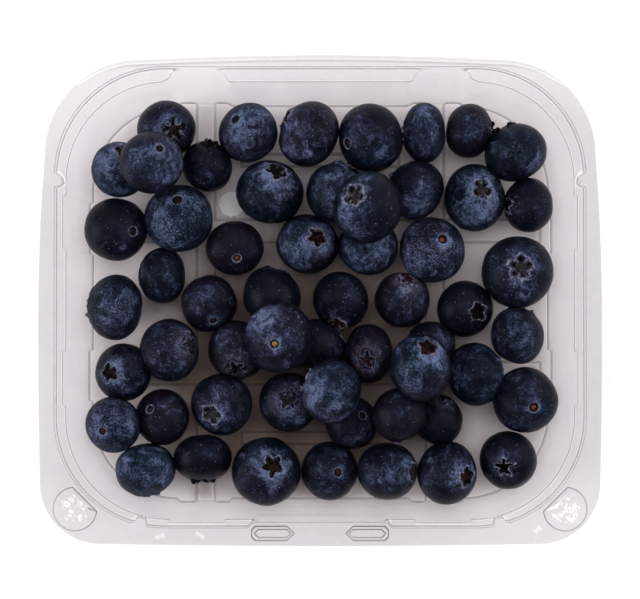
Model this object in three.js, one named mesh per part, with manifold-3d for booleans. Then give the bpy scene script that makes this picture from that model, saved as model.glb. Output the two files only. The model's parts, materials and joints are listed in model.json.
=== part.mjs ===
// An open punnet of blueberries: a clear thermoformed tray and the fruit heaped in it.
// Millimetres. The origin lies on the surface that the punnet stands on, below the middle of its
// rim. +X runs along the long side, +Y towards the narrow back of the rim, and +Z is up.
import * as THREE from "three";
import { mergeVertices } from "three/addons/utils/BufferGeometryUtils.js";
import Module from "manifold-3d";

const wasm = await Module();
wasm.setup();

// ---------------------------------------------------------------- driving dimensions: the tray
const sheet = 0.5;
const bend = 0.3; // the rounding where the sheet turns at the ledge and the mouth
const grooveDepth = 1.3;
const standing = 0; // the height of the surface under the punnet
const floorTop = standing + sheet + grooveDepth;
const rimTop = 40;

// Four plans of the tray's inner face, as half sizes and corner radii. The back and front half
// sizes are measured from the middle of the rim. Only the rim's edge bows outwards, by the two
// numbers given for its back corners and its front ones.
const floorPlan = plan({ side: 61.6, back: 53, front: 53, backRound: 22.7, frontRound: 23 });
const wallPlan = plan({ side: 65.2, back: 56.1, front: 56.1, backRound: 25.5, frontRound: 26 });
const mouthPlan = plan({ side: 67.7, back: 59.5, front: 57.9, backRound: 27.7, frontRound: 28 });
const edgePlan = plan({
  side: 72,
  back: 62.7,
  front: 62.7,
  backRound: 24.2,
  frontRound: 15.5,
  backBow: [1.6, 1.2],
  frontBow: [0.5, 0.5],
});

const footRise = 3.2; // the floor turns up into the wall over this height
const footRun = 1.3; // and over this width
const footMiddle = { rise: 0.3, run: 0.6 }; // the middle of that curve, as shares of the two
const wallTop = 36.6;
const ledgeTop = 37.3;
const panelDepth = 0.9; // the walls step out by this at their panels
const panelFloor = 0.5; // the share of that step that is left at the floor
const panelSlope = 0.35; // half the width of the step at a panel's edge
const sidePanel = { from: 13.2, to: 26.9 };
const endPanel = { from: 24.5, to: 38.5 };
// The back's two panels lean out further, until they meet the mouth.
const panelLean = mouthPlan.back - wallPlan.back - panelDepth - 2 * bend;
const flushFront = 17.9; // the ledge stops this far either side of the front's middle
const flushDepth = 1;
const hingeStrip = { width: 1.8, bevel: 0.9, drop: 0.6 };

// The floor's grooves: their middle lines, width, half length, and how far their sides slope in.
const longGroove = { at: [-31.2, 31.2], width: 5.6, half: 51.5, draft: 0.5 };
const crossGroove = { at: [-19.4, 19.4], width: 6.6, half: 60.2, draft: 0.5 };
const drainGroove = { at: [-37, 38.7], width: 4.4, half: 22, draft: 1.3 };
const vent = { x: 24.2, y: 26.7, radius: 3.4 };

const lugRadius = 1.8;
const lugs = [
  [67.6, 30.6],
  [46, -57.2],
];
const button = { x: 12, y: -59.5, half: 5.5, width: 4, rise: 1 };
const pad = { x: 62.8, y: -53.6, radius: 5.2, rise: 0.6, chord: 3.4, eye: 2.3, eyeDepth: 0.25 };

const cornerSteps = 8; // facets round a quarter turn of the tray
const roundSides = 12; // facets round a small upright form
const overrun = 0.2; // how far a joined or cut piece runs past the surface that it crosses

// ------------------------------------------------------------- driving dimensions: the berries
const clearance = 0.3; // between the fruit and the tray
const flatness = 0.88; // a berry's height from stalk to crown, as a share of its girth
const coreDepth = 2.6; // the layer under the fruit that joins it into one piece
const coreInset = 4;
const sinkIntoCore = 0.3;
const squash = 0.92; // two berries that touch lie this much closer than their sizes say
const wallLift = 3; // a berry jammed against a wall stands this much above the floor
const berrySides = 10;
const berryBands = 6; // facets from the stalk end to the crown
// The crown is a raised ring round a dip: radii and heights above the pole, as shares of the girth.
const crown = { ring: 0.17, lip: 0.02, hollow: 0.12, edge: -0.04, bottom: -0.07 };

// One berry: where its middle lies, its size along X and along Y, where its eye is turned (as
// shares of its half sizes, from the middle), what shows there, and what it rests on.
const berries = [
  // back row
  [-54, 35.5, 15, 15, 0.2, 0.6, "crown", "floor"],
  [-44.5, 36.5, 16.5, 16.5, 0.3, 0.4, "scar", "fruit"],
  [-41.5, 46.5, 15.5, 15.5, 0.3, -0.1, "crown", "floor"],
  [-30.5, 36.5, 13.5, 13.5, 0.2, 0.8, "crown", "floor"],
  [-19.5, 45.5, 16, 16, -0.4, 0.4, "scar", "floor"],
  [-3, 45, 16, 17.5, -0.7, 0.5, "crown", "floor"],
  [13.5, 44, 17, 18.5, -0.7, -0.2, "scar", "floor"],
  [28, 45.5, 11.5, 16, 0, 0, "bare", "floor"],
  [40, 46, 12.5, 14.5, 0.9, -0.1, "crown", "floor"],
  [52.5, 40, 16.5, 15.5, -0.4, 0.8, "crown", "floor"],
  // second row
  [-55, 19.5, 16.5, 17, 0.6, -0.1, "scar", "floor"],
  [-38, 22.5, 18.5, 18, 0, 0.5, "scar", "floor"],
  [-13.5, 29.5, 18, 17, 0.2, 0.6, "crown", "floor"],
  [4.5, 29, 16.5, 16.5, 0, 0, "bare", "floor"],
  [12.5, 24.5, 18, 19, -0.4, 0.3, "crown", "fruit"],
  [25.5, 30, 15.5, 15.5, 0, 0, "bare", "floor"],
  [41.5, 28, 16.5, 18, 0.2, 0.2, "crown", "floor"],
  [56, 26, 13, 15, -0.8, 0, "crown", "floor"],
  // third row
  [-23, 14.5, 15.5, 14.5, 0.1, -0.4, "scar", "floor"],
  [-3.5, 15.5, 16.5, 16, 0.3, 0.2, "crown", "floor"],
  [13, 15, 16, 16, 0, 0, "crown", "floor"],
  [30, 14, 17.5, 17.5, 0.3, 0.3, "scar", "floor"],
  // middle row
  [-55, -1.5, 14.5, 17.5, -0.9, 0.1, "crown", "floor"],
  [-42.5, 7, 12.5, 15, -0.9, 0, "crown", "floor"],
  [-30, -0.5, 15, 15, 0.2, -0.6, "scar", "floor"],
  [-13, 1.5, 15.5, 15.5, 0, 0, "bare", "floor"],
  [5.5, 0.5, 15, 15, -0.1, -0.8, "crown", "floor"],
  [22, 0.5, 15, 14.5, 0.2, 0.7, "crown", "floor"],
  [39, -2, 15, 15, 0.4, -0.1, "crown", "floor"],
  [53, 8, 19.5, 19.5, 0, 0.1, "crown", "floor"],
  // fifth row
  [-40.5, -13, 15.5, 17, 0.7, 0.2, "crown", "floor"],
  [-22.5, -13, 15.5, 15.5, 0, -0.6, "crown", "floor"],
  [-11, -9.5, 18, 18.5, -0.1, -0.2, "scar", "fruit"],
  [-0.5, -11.5, 14, 14, 0, 0, "bare", "floor"],
  [13, -14, 13, 16, -0.1, -0.2, "crown", "floor"],
  [29.5, -12, 13.5, 13.5, 0, 0, "bare", "floor"],
  [53, -9, 14.5, 15, 0, 0, "bare", "floor"],
  // sixth row
  [-53, -19, 15, 15.5, -0.4, 0, "crown", "floor"],
  [-26.5, -27.5, 16.5, 16.5, -0.3, -0.3, "crown", "floor"],
  [-8.5, -27, 16, 16, 0, 0.1, "crown", "floor"],
  [3, -24, 15.5, 17, -0.7, 0.4, "bare", "fruit"],
  [8.5, -32.5, 14, 14, 0.4, 0.3, "scar", "floor"],
  [21, -30, 14.5, 14.5, 0, 0, "bare", "fruit"],
  [26.5, -17.5, 16, 17.5, 0.2, 0.6, "crown", "fruit"],
  [41.5, -19.5, 15, 17, 0, 0, "bare", "floor"],
  [55, -26.5, 17.5, 17.5, 0.2, -0.2, "scar", "floor"],
  // seventh row
  [-55.5, -33, 15, 15, -0.3, -0.2, "scar", "wall"],
  [-42.5, -31, 14.5, 15, -0.4, 0.3, "scar", "floor"],
  [-47, -45, 16, 14, 0, 0, "bare", "floor"],
  [-31.5, -42, 15.5, 12.5, 0, -0.9, "crown", "floor"],
  [31.5, -31.5, 13.5, 13.5, 0.2, 0.8, "crown", "floor"],
  // front row
  [-14.5, -45.5, 18.5, 18.5, 0.2, 0.2, "crown", "floor"],
  [2.5, -45.5, 15, 15.5, 0.3, 0, "scar", "floor"],
  [18, -45.5, 16, 15.5, 0.8, 0, "crown", "floor"],
  [34, -46, 16, 17, 0.6, -0.1, "crown", "floor"],
  [50.5, -42.5, 15.5, 15.5, -0.2, -0.2, "crown", "floor"],
];

// ---------------------------------------------------------------------- solids and booleans

function solidOf(geometry) {
  const bare = geometry.clone();
  bare.deleteAttribute("normal");
  bare.deleteAttribute("uv");
  const merged = mergeVertices(bare, 1e-4);
  return new wasm.Manifold(
    new wasm.Mesh({
      numProp: 3,
      vertProperties: new Float32Array(merged.attributes.position.array),
      triVerts: new Uint32Array(merged.index.array),
    }),
  );
}

function geometryOf(solid) {
  const { vertProperties, triVerts } = solid.getMesh();
  const geometry = new THREE.BufferGeometry();
  geometry.setAttribute("position", new THREE.BufferAttribute(vertProperties, 3));
  geometry.setIndex(new THREE.BufferAttribute(triVerts, 1));
  const faceted = geometry.toNonIndexed();
  faceted.computeVertexNormals();
  return faceted;
}

// ---------------------------------------------------------- plans, stations and lofted skins

function plan({ side, back, front, backRound, frontRound, backBow = [0, 0], frontBow = [0, 0] }) {
  const corner = (round, end, bow, sign) => ({
    x: side - bow[0] - round,
    y: sign * (end - bow[1] - round),
    round,
    bow,
  });
  return {
    side,
    back,
    front,
    backCorner: corner(backRound, back, backBow, 1),
    frontCorner: corner(frontRound, front, frontBow, -1),
  };
}

// The stations of the right half, clockwise from the middle of the back to that of the front.
// Each panel edge has a station on either side of its step.
function stations() {
  const step = (edge) => [edge - panelSlope, edge + panelSlope];
  const across = (panel) => [...step(panel.from), ...step(panel.to)];
  const turn = Math.PI / 2 / cornerSteps;
  const quarter = Array.from({ length: cornerSteps + 1 }, (_, i) => i * turn);
  const sideRun = [...across(sidePanel).reverse(), 0, ...across(sidePanel).map((y) => -y)];
  const frontRun = [0, flushFront / 2, ...step(flushFront), ...across(endPanel)].reverse();
  const run = (name, places) => places.map((at) => ({ run: name, at }));
  return [
    ...run("back", [0, endPanel.from / 2, ...across(endPanel)]),
    ...run("backCorner", quarter),
    ...run("side", sideRun),
    ...run("frontCorner", quarter),
    ...run("front", frontRun),
  ];
}

// A station's point on a plan, moved outwards by offset.
function planPoint(shape, { run, at }, offset) {
  const { backCorner, frontCorner } = shape;
  if (run === "back") {
    const bow = backCorner.bow[1] * (at / backCorner.x) ** 2;
    return [at, shape.back - bow + offset];
  }
  if (run === "front") {
    const bow = frontCorner.bow[1] * (at / frontCorner.x) ** 2;
    return [at, -shape.front + bow - offset];
  }
  if (run === "side") {
    const middle = (backCorner.y + frontCorner.y) / 2;
    const corner = at > middle ? backCorner : frontCorner;
    const bow = corner.bow[0] * ((at - middle) / (corner.y - middle)) ** 2;
    return [shape.side - bow + offset, at];
  }
  const corner = run === "backCorner" ? backCorner : frontCorner;
  const angle = run === "backCorner" ? Math.PI / 2 - at : -at;
  const reach = corner.round + offset;
  return [corner.x + reach * Math.cos(angle), corner.y + reach * Math.sin(angle)];
}

function within(value, { from, to }) {
  return Math.abs(value) > from && Math.abs(value) < to;
}

// How far the wall stands out of its plan at a station: share is that of the panels' step, and
// lean that of the back panels' lean.
function panelStep({ run, at }, share, lean) {
  if (run === "side") return within(at, sidePanel) ? panelDepth * share : 0;
  if (!within(at, endPanel)) return 0;
  if (run === "front") return panelDepth * share;
  return run === "back" ? panelDepth * share + panelLean * lean : 0;
}

function flushStep({ run, at }) {
  return run === "front" && at < flushFront ? -flushDepth : 0;
}

// 1 along the back of the rim, fading to 0 round its corners.
function backness({ run, at }) {
  if (run === "back") return 1;
  return run === "backCorner" ? Math.max(0, Math.cos(2 * at)) : 0;
}

// A closed ring of points, counterclockwise from above, from the right half and its mirror image.
function ring(shape, offsetAt, heightAt) {
  const right = stations().map((station) => {
    const [x, y] = planPoint(shape, station, offsetAt(station));
    return [x, y, heightAt(station)];
  });
  const left = right.slice(1, -1).map(([x, y, z]) => [-x, y, z]);
  return [...left, right.at(-1), ...right.slice(1, -1).reverse(), right[0]];
}

// The closed skin over a stack of rings, from a middle point at firstHeight to one at lastHeight.
function skinOver(rings, firstHeight, lastHeight) {
  const count = rings[0].length;
  const points = [[0, 0, firstHeight], ...rings.flat(), [0, 0, lastHeight]];
  const last = points.length - 1;
  const faces = [];
  for (let j = 0; j < count; j += 1) {
    const next = (j + 1) % count;
    faces.push(0, 1 + j, 1 + next);
    for (let i = 0; i + 1 < rings.length; i += 1) {
      const low = 1 + i * count;
      const high = low + count;
      faces.push(low + j, high + j, high + next);
      faces.push(low + j, high + next, low + next);
    }
    const end = 1 + (rings.length - 1) * count;
    faces.push(end + j, last, end + next);
  }
  const geometry = new THREE.BufferGeometry();
  geometry.setAttribute("position", new THREE.Float32BufferAttribute(points.flat(), 3));
  geometry.setIndex(faces);
  return geometry;
}

// The rings of the wall, from the floor's edge up to the ledge, moved outwards by gap.
function wallRings(gap, floorHeight) {
  const middle = floorTop + footMiddle.rise * footRise;
  const rings = [
    [floorPlan, 0, panelFloor, 0, floorHeight],
    [floorPlan, footMiddle.run * footRun, (panelFloor + 1) / 2, 0, middle],
    [floorPlan, footRun, 1, 0, floorTop + footRise],
    [wallPlan, 0, 1, 1, wallTop],
  ];
  return rings.map(([shape, out, share, lean, height]) =>
    ring(
      shape,
      (station) => out + gap + panelStep(station, share, lean),
      () => height,
    ),
  );
}

// ------------------------------------------------------------------------------ the tray

function traySkin() {
  const mouth = (out, height) =>
    ring(
      mouthPlan,
      (station) => out + flushStep(station),
      () => height,
    );
  const strip = (out, height, share) =>
    ring(
      edgePlan,
      () => -out,
      (station) => height - share * hingeStrip.drop * backness(station),
    );
  const { width, bevel } = hingeStrip;
  const inside = [
    ...wallRings(0, floorTop),
    ring(
      wallPlan,
      (station) => bend / 2 + panelStep(station, 1, 1),
      () => ledgeTop - bend,
    ),
    mouth(-bend, ledgeTop),
    mouth(0, rimTop - bend),
    mouth(bend, rimTop),
    strip(width, rimTop, 0),
    strip(bevel, rimTop, 1),
    strip(0, rimTop, 1),
  ];
  const under = rimTop - sheet;
  const outside = [
    strip(0, under, 1),
    strip(bevel + bend, under, 1),
    strip(width + bend, under, 0),
    mouth(sheet + bend, under),
    mouth(sheet, under - bend),
    mouth(sheet - bend, ledgeTop - sheet),
    ...wallRings(sheet, floorTop - sheet).reverse(),
  ];
  return skinOver([...inside, ...outside], floorTop, floorTop - sheet);
}

// A bar with four sloping sides, narrower below: one groove of the floor, or its underside.
function groovedBar(halfX, halfY, draft, low, high) {
  const bar = new THREE.BoxGeometry(2 * halfX, 2 * halfY, high - low);
  const place = bar.attributes.position;
  for (let i = 0; i < place.count; i += 1) {
    if (place.getZ(i) > 0) continue;
    place.setX(i, place.getX(i) * (1 - draft / halfX));
    place.setY(i, place.getY(i) * (1 - draft / halfY));
  }
  return bar.translate(0, 0, (low + high) / 2);
}

// The grooves hang below the floor as runners, and the tray stands on them.
function grooves(grow, low, high) {
  const bars = [];
  for (const { at, width, half, draft } of [crossGroove, drainGroove]) {
    for (const y of at) {
      const bar = groovedBar(half + grow, width / 2 + grow, draft, low, high);
      bars.push(bar.translate(0, y, 0));
    }
  }
  const { at, width, half, draft } = longGroove;
  for (const x of at) {
    bars.push(groovedBar(width / 2 + grow, half + grow, draft, low, high).translate(x, 0, 0));
  }
  return bars.map(solidOf);
}

// The long outline of a closing button: round at its outer end and pointed at its inner one.
function buttonShape(inset) {
  const half = button.half - inset;
  const wide = button.width / 2 - inset;
  const shape = new THREE.Shape();
  shape.moveTo(-half, 0);
  shape.lineTo(wide - half, -wide);
  shape.lineTo(half - wide, -wide);
  shape.absarc(half - wide, 0, wide, -Math.PI / 2, Math.PI / 2, false);
  shape.lineTo(wide - half, wide);
  shape.closePath();
  return shape;
}

// A finger pad on a front corner: a disc cut straight on the side of the mouth.
function padShape(inset) {
  const radius = pad.radius - inset;
  const half = Math.acos((pad.chord - inset) / radius);
  const towardsMouth = (3 * Math.PI) / 4;
  const shape = new THREE.Shape();
  shape.absarc(0, 0, radius, towardsMouth + half, towardsMouth - half + 2 * Math.PI, false);
  shape.closePath();
  return shape;
}

// A form raised out of the rim, and the hollow that it leaves below.
function embossed(shapeAt, rise, place) {
  const solid = (inset, low, high) => {
    const curveSegments = roundSides / 2;
    const options = { depth: high - low, bevelEnabled: false, curveSegments };
    return new THREE.ExtrudeGeometry(shapeAt(inset), options).translate(0, 0, low);
  };
  return {
    raised: solidOf(place(solid(0, rimTop - sheet / 2, rimTop + rise))),
    hollow: solidOf(place(solid(sheet, rimTop - 2 * sheet, rimTop + rise - sheet))),
  };
}

function rimForms() {
  const forms = [];
  for (const side of [-1, 1]) {
    const turn = side < 0 ? Math.PI : 0;
    const onButton = (g) => g.rotateZ(turn).translate(side * button.x, button.y, 0);
    const onPad = (g) => g.rotateZ(side < 0 ? -Math.PI / 2 : 0).translate(side * pad.x, pad.y, 0);
    forms.push(embossed(buttonShape, button.rise, onButton));
    forms.push(embossed(padShape, pad.rise, onPad));
  }
  return forms;
}

function upright(radius, low, high, x, y) {
  const post = new THREE.CylinderGeometry(radius, radius, high - low, roundSides);
  return solidOf(post.rotateX(Math.PI / 2).translate(x, y, (low + high) / 2));
}

function makeTray() {
  let tray = solidOf(traySkin());
  for (const bar of grooves(sheet, standing, floorTop - sheet + overrun)) tray = tray.add(bar);
  for (const bar of grooves(0, standing + sheet, floorTop + overrun)) tray = tray.subtract(bar);
  for (const { raised, hollow } of rimForms()) tray = tray.add(raised).subtract(hollow);
  for (const side of [-1, 1]) {
    for (const end of [-1, 1]) {
      const [x, y] = [side * vent.x, end * vent.y];
      tray = tray.subtract(upright(vent.radius, standing, floorTop + overrun, x, y));
    }
    for (const [x, y] of lugs) {
      tray = tray.add(upright(lugRadius, ledgeTop - sheet, rimTop - bend, side * x, y));
    }
    const padTop = rimTop + pad.rise;
    const eye = upright(pad.eye, padTop - pad.eyeDepth, padTop + overrun, side * pad.x, pad.y);
    tray = tray.subtract(eye);
  }
  return tray;
}

// --------------------------------------------------------------------------- the berries

// The half outline of a berry of girth 1, stalk end down.
function berryProfile(kind) {
  const half = flatness / 2;
  const points = [new THREE.Vector2(0, -half)];
  for (let i = 1; i < berryBands; i += 1) {
    const angle = (i * Math.PI) / berryBands;
    points.push(new THREE.Vector2(Math.sin(angle) / 2, -half * Math.cos(angle)));
  }
  if (kind !== "crown") return [...points, new THREE.Vector2(0, half)];
  points.push(new THREE.Vector2(crown.ring, half + crown.lip));
  points.push(new THREE.Vector2(crown.hollow, half + crown.edge));
  points.push(new THREE.Vector2(0, half + crown.bottom));
  return points;
}

// A berry about its own middle, turned so that its eye looks the way it shows.
function shapedBerry([, , sizeX, sizeY, eyeX, eyeY, kind]) {
  const berry = new THREE.LatheGeometry(berryProfile(kind), berrySides).rotateX(Math.PI / 2);
  const lean = Math.asin(Math.min(1, Math.hypot(eyeX, eyeY) / flatness));
  berry.rotateY(lean).rotateZ(Math.atan2(eyeY, eyeX));
  berry.computeBoundingBox();
  const size = berry.boundingBox.getSize(new THREE.Vector3());
  const [scaleX, scaleY] = [sizeX / size.x, sizeY / size.y];
  berry.scale(scaleX, scaleY, (scaleX + scaleY) / 2);
  return berry;
}

// How high a berry's middle lies: on the floor, against the wall, or on the placed ones below.
function restingHeight([x, y, sizeX, sizeY, , , , support], berry, placed) {
  berry.computeBoundingBox();
  const onFloor = floorTop + clearance + sinkIntoCore - berry.boundingBox.min.z;
  if (support === "floor") return onFloor;
  if (support === "wall") return onFloor + wallLift;
  const touching = placed.map((other) => {
    const reach = (squash * (sizeX + sizeY + other.sizeX + other.sizeY)) / 4;
    const apart = Math.hypot(x - other.x, y - other.y);
    return apart < reach ? other.z + Math.sqrt(reach ** 2 - apart ** 2) : onFloor;
  });
  return Math.max(onFloor, ...touching);
}

// The berries that rest on others come after those on the floor.
function heapedBerries() {
  const placed = [];
  const lowFirst = [
    ...berries.filter((row) => row[7] !== "fruit"),
    ...berries.filter((row) => row[7] === "fruit"),
  ];
  return lowFirst.map((row) => {
    const [x, y, sizeX, sizeY] = row;
    const berry = shapedBerry(row);
    const z = restingHeight(row, berry, placed);
    placed.push({ x, y, z, sizeX, sizeY });
    return solidOf(berry.translate(x, y, z));
  });
}

// The space inside the walls, down to the floor, less the clearance.
function hollowOfTray() {
  const low = floorTop + clearance;
  return solidOf(skinOver(wallRings(-clearance, low).reverse(), wallTop, low));
}

function makeBerries() {
  const low = floorTop + clearance;
  const flat = (height) =>
    ring(
      floorPlan,
      () => -coreInset,
      () => height,
    );
  const high = low + coreDepth;
  let heap = solidOf(skinOver([flat(high), flat(low)], high, low));
  for (const berry of heapedBerries()) heap = heap.add(berry);
  return heap.intersect(hollowOfTray());
}

// ------------------------------------------------------------------------- the scene graph

const clearPlastic = new THREE.MeshStandardMaterial({
  color: 0xe4e2e3,
  roughness: 0.12,
  metalness: 0,
  transparent: true,
  opacity: 0.35,
});
const berrySkin = new THREE.MeshStandardMaterial({ color: 0x2c3346, roughness: 0.6, metalness: 0 });

function part(name, solid, material) {
  const mesh = new THREE.Mesh(geometryOf(solid), material);
  mesh.name = name;
  return mesh;
}

const punnet = new THREE.Group();
punnet.add(part("punnet_tray", makeTray(), clearPlastic));
punnet.add(part("blueberries", makeBerries(), berrySkin));

export default punnet;
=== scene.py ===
# %% [markdown]
# # A clear punnet of blueberries
#
# The real thing is one sheet of clear plastic, drawn into a mould, with some 120 grams of fruit
# tipped into it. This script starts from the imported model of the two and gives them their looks:
# the sheet at its real thickness with soft bends, and every berry with its crown, its stalk scar
# and its coat of wax. Each cell adds one step.

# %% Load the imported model
import json
import math
import random

import bpy
import numpy as np
from mathutils import Matrix, Vector, noise
from mathutils.geometry import delaunay_2d_cdt

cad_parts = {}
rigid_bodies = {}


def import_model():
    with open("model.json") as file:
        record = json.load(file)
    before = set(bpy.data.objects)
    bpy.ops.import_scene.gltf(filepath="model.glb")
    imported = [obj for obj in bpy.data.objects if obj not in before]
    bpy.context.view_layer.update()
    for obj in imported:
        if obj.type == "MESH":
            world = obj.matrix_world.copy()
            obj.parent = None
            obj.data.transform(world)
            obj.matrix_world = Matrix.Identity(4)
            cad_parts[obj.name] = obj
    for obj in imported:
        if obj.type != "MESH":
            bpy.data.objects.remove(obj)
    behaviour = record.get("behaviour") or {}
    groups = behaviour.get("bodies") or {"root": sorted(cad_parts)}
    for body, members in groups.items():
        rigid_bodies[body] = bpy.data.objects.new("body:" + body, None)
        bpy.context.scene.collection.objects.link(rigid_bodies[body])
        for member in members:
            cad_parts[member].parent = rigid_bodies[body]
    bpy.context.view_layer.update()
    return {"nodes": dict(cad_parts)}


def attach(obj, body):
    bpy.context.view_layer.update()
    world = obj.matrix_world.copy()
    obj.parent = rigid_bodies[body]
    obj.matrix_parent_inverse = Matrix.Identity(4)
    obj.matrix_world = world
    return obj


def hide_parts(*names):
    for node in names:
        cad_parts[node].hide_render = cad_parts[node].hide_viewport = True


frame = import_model()
scene = bpy.context.scene
MM = 0.001
print("packed nodes:", sorted(frame["nodes"]))

# %% [markdown]
# ## Small helpers
#
# Colours are written as hex values, the way a paint chart gives them, and shaders want them
# linear. A node tree is a list of nodes, and one function can add any of them: its properties are
# set first, because they decide which sockets the node has, and its inputs after that. Modifiers
# are worked out once and then frozen, so that each finished piece is a plain mesh. Values that
# belong to a point, such as a berry's turn, are kept beside it as attributes.

# %% Helpers


def linear(hex_colour):
    """An sRGB hex colour as the linear RGBA that shaders take."""
    parts = [int(hex_colour[i : i + 2], 16) / 255 for i in (1, 3, 5)]
    curve = [c / 12.92 if c <= 0.04045 else ((c + 0.055) / 1.055) ** 2.4 for c in parts]
    return (*curve, 1.0)


def add(tree, kind, inputs=(), **settings):
    """Adds a node with its settings, and its inputs by name or in order.

    An input takes a value, a socket, or a node, which gives its first output.
    """
    made = tree.nodes.new(kind)
    for name, value in settings.items():
        setattr(made, name, value)
    for key, value in inputs.items() if isinstance(inputs, dict) else enumerate(inputs):
        if isinstance(value, bpy.types.Node):
            value = next(socket for socket in value.outputs if socket.enabled)
        if isinstance(value, bpy.types.NodeSocket):
            tree.links.new(value, made.inputs[key])
        else:
            made.inputs[key].default_value = value
    return made


def smooth(value, low, high):
    """0 below low, 1 above high and a soft step between."""
    share = min(1.0, max(0.0, (value - low) / (high - low)))
    return share * share * (3 - 2 * share)


def band(value, low, high, soft):
    """1 between low and high, 0 outside, with soft edges of that half width."""
    rising = smooth(value, low - soft, low + soft)
    return rising * (1 - smooth(value, high - soft, high + soft))


def thinned(places, gap):
    """The places in order, without those that lie closer than the gap to the one before."""
    kept = []
    for place in sorted(places):
        if not kept or place - kept[-1] > gap:
            kept.append(place)
    return kept


def triangles(piece):
    """How many triangles a piece's faces come to."""
    return sum(len(face.vertices) - 2 for face in piece.data.polygons)


def mesh_piece(name, points, faces):
    """A smooth-shaded mesh object from points in millimetres."""
    mesh = bpy.data.meshes.new(name)
    mesh.from_pydata([Vector(p) * MM for p in points], [], faces)
    mesh.validate()
    mesh.shade_smooth()
    made = bpy.data.objects.new(name, mesh)
    scene.collection.objects.link(made)
    return made


FIELDS = {"FLOAT_VECTOR": "vector", "FLOAT_COLOR": "color"}


def keep_beside(piece, title, kind, rows):
    """Keeps one value of that kind beside each point of a piece."""
    store = piece.data.attributes.new(title, kind, "POINT")
    values = np.array(rows, np.int32 if kind == "INT" else np.float32)
    store.data.foreach_set(FIELDS.get(kind, "value"), values.ravel())


def blank_material(name):
    """A material without nodes, and its tree."""
    made = bpy.data.materials.new(name)
    made.use_nodes = True
    made.node_tree.nodes.clear()
    return made, made.node_tree


def freeze(piece):
    """Replaces a piece's mesh with what its modifiers make of it."""
    worked_out = piece.evaluated_get(bpy.context.evaluated_depsgraph_get())
    mesh = bpy.data.meshes.new_from_object(worked_out)
    piece.modifiers.clear()
    piece.data = mesh
    mesh.name = piece.name


print("a mid grey is linear", round(linear("#808080")[0], 3))

# %% [markdown]
# ## The tray's plans
#
# Seen from above, the tray is four rounded rectangles, one inside the other: the floor, the top of
# the wall, the mouth above the ledge, and the rim's edge. A station is a place on the right half
# of such an outline. The same station on each plan gives the sheet's section there, so the whole
# tray is a loft of one rule over all stations. Millimetres, measured from the middle of the rim.

# %% The four plans
FLOOR_TOP = 1.8
LEDGE_TOP = 37.3
RIM_TOP = 40.0
SHEET = 0.35


def plan(side, back, front, back_round, front_round, back_bow=(0, 0), front_bow=(0, 0)):
    """Half sizes, corner radii and bows of one outline, with the middles of its corners."""
    back_corner = (side - back_bow[0] - back_round, back - back_bow[1] - back_round)
    front_corner = (side - front_bow[0] - front_round, -front + front_bow[1] + front_round)
    return {
        "side": side,
        "ends": (back, -front),
        "corners": (back_corner, front_corner),
        "rounds": (back_round, front_round),
        "bows": (back_bow, front_bow),
    }


FLOOR_PLAN = plan(61.6, 53, 53, 22.7, 23)
WALL_PLAN = plan(65.2, 56.1, 56.1, 25.5, 26)
MOUTH_PLAN = plan(67.7, 59.5, 57.9, 27.7, 28)
EDGE_PLAN = plan(71.95, 62.7, 62.7, 24.2, 15.5, (1.6, 1.2), (0.5, 0.5))


def plan_point(shape, station, out=0.0):
    """A station's point on a plan, moved outwards."""
    run, at = station
    half = 0 if run.startswith("back") else 1
    sign = 1 - 2 * half
    if run in ("back", "front"):
        bow = shape["bows"][half][1] * (at / shape["corners"][half][0]) ** 2
        return at, shape["ends"][half] + sign * (out - bow)
    if run == "side":
        middle = sum(corner[1] for corner in shape["corners"]) / 2
        half = 0 if at > middle else 1
        reach = shape["corners"][half][1] - middle
        return shape["side"] - shape["bows"][half][0] * ((at - middle) / reach) ** 2 + out, at
    x, y = shape["corners"][half]
    reach = shape["rounds"][half] + out
    return x + reach * math.sin(at), y + sign * reach * math.cos(at)


# %% [markdown]
# ## Grooves in the floor
#
# Grooves crossing the floor stiffen it and keep the fruit out of the wet, and the tray stands on
# their undersides. The height of the floor is one function of the place, so that the floor's mesh
# and the foot of the wall agree where they meet.

# %% Grooves
GROOVE_DEPTH = FLOOR_TOP - SHEET
GROOVE_BEND = 0.15
LONG_GROOVES = {"at": (-31.2, 31.2), "width": 5.8, "half": 55, "draft": 1.1, "along": 1}
CROSS_GROOVES = {"at": (-19.4, 19.4), "width": 6.8, "half": 60.2, "draft": 0.9, "along": 0}
DRAIN_GROOVES = {"at": (-37.0, 38.7), "width": 4.4, "half": 22.0, "draft": 1.3, "along": 0}
GROOVES = (LONG_GROOVES, CROSS_GROOVES, DRAIN_GROOVES)
VENT = {"x": 24.2, "y": 26.7, "radius": 3.4, "sides": 40}


def floor_height(x, y):
    """The height of the floor's upper face."""
    deepest = 0.0
    for groove in GROOVES:
        along, across = ((x, y), (y, x))[groove["along"]]
        for at in groove["at"]:
            gaps = groove["half"] - abs(along), groove["width"] / 2 - abs(across - at)
            depth = min(smooth(gap, -GROOVE_BEND, groove["draft"] + GROOVE_BEND) for gap in gaps)
            deepest = max(deepest, depth)
    return FLOOR_TOP - GROOVE_DEPTH * deepest


def groove_sides(groove):
    """The middles of a groove's two slopes, on the positive side."""
    reach = (groove["width"] - groove["draft"]) / 2
    return groove["at"][1] - reach, groove["at"][1] + reach


# %% [markdown]
# ## Panels, lugs and stations
#
# Thin plastic is made stiff by steps. Each side wall has two panels that stand out by nearly a
# millimetre, and so have both ends. The two at the back lean out until they meet the mouth. Small
# half-round lugs in the mouth catch a lid, and the ledge is narrower along the middle of the front.
# Stations lie a millimetre apart, and closer at each step, so that the steps stay crisp.

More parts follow.
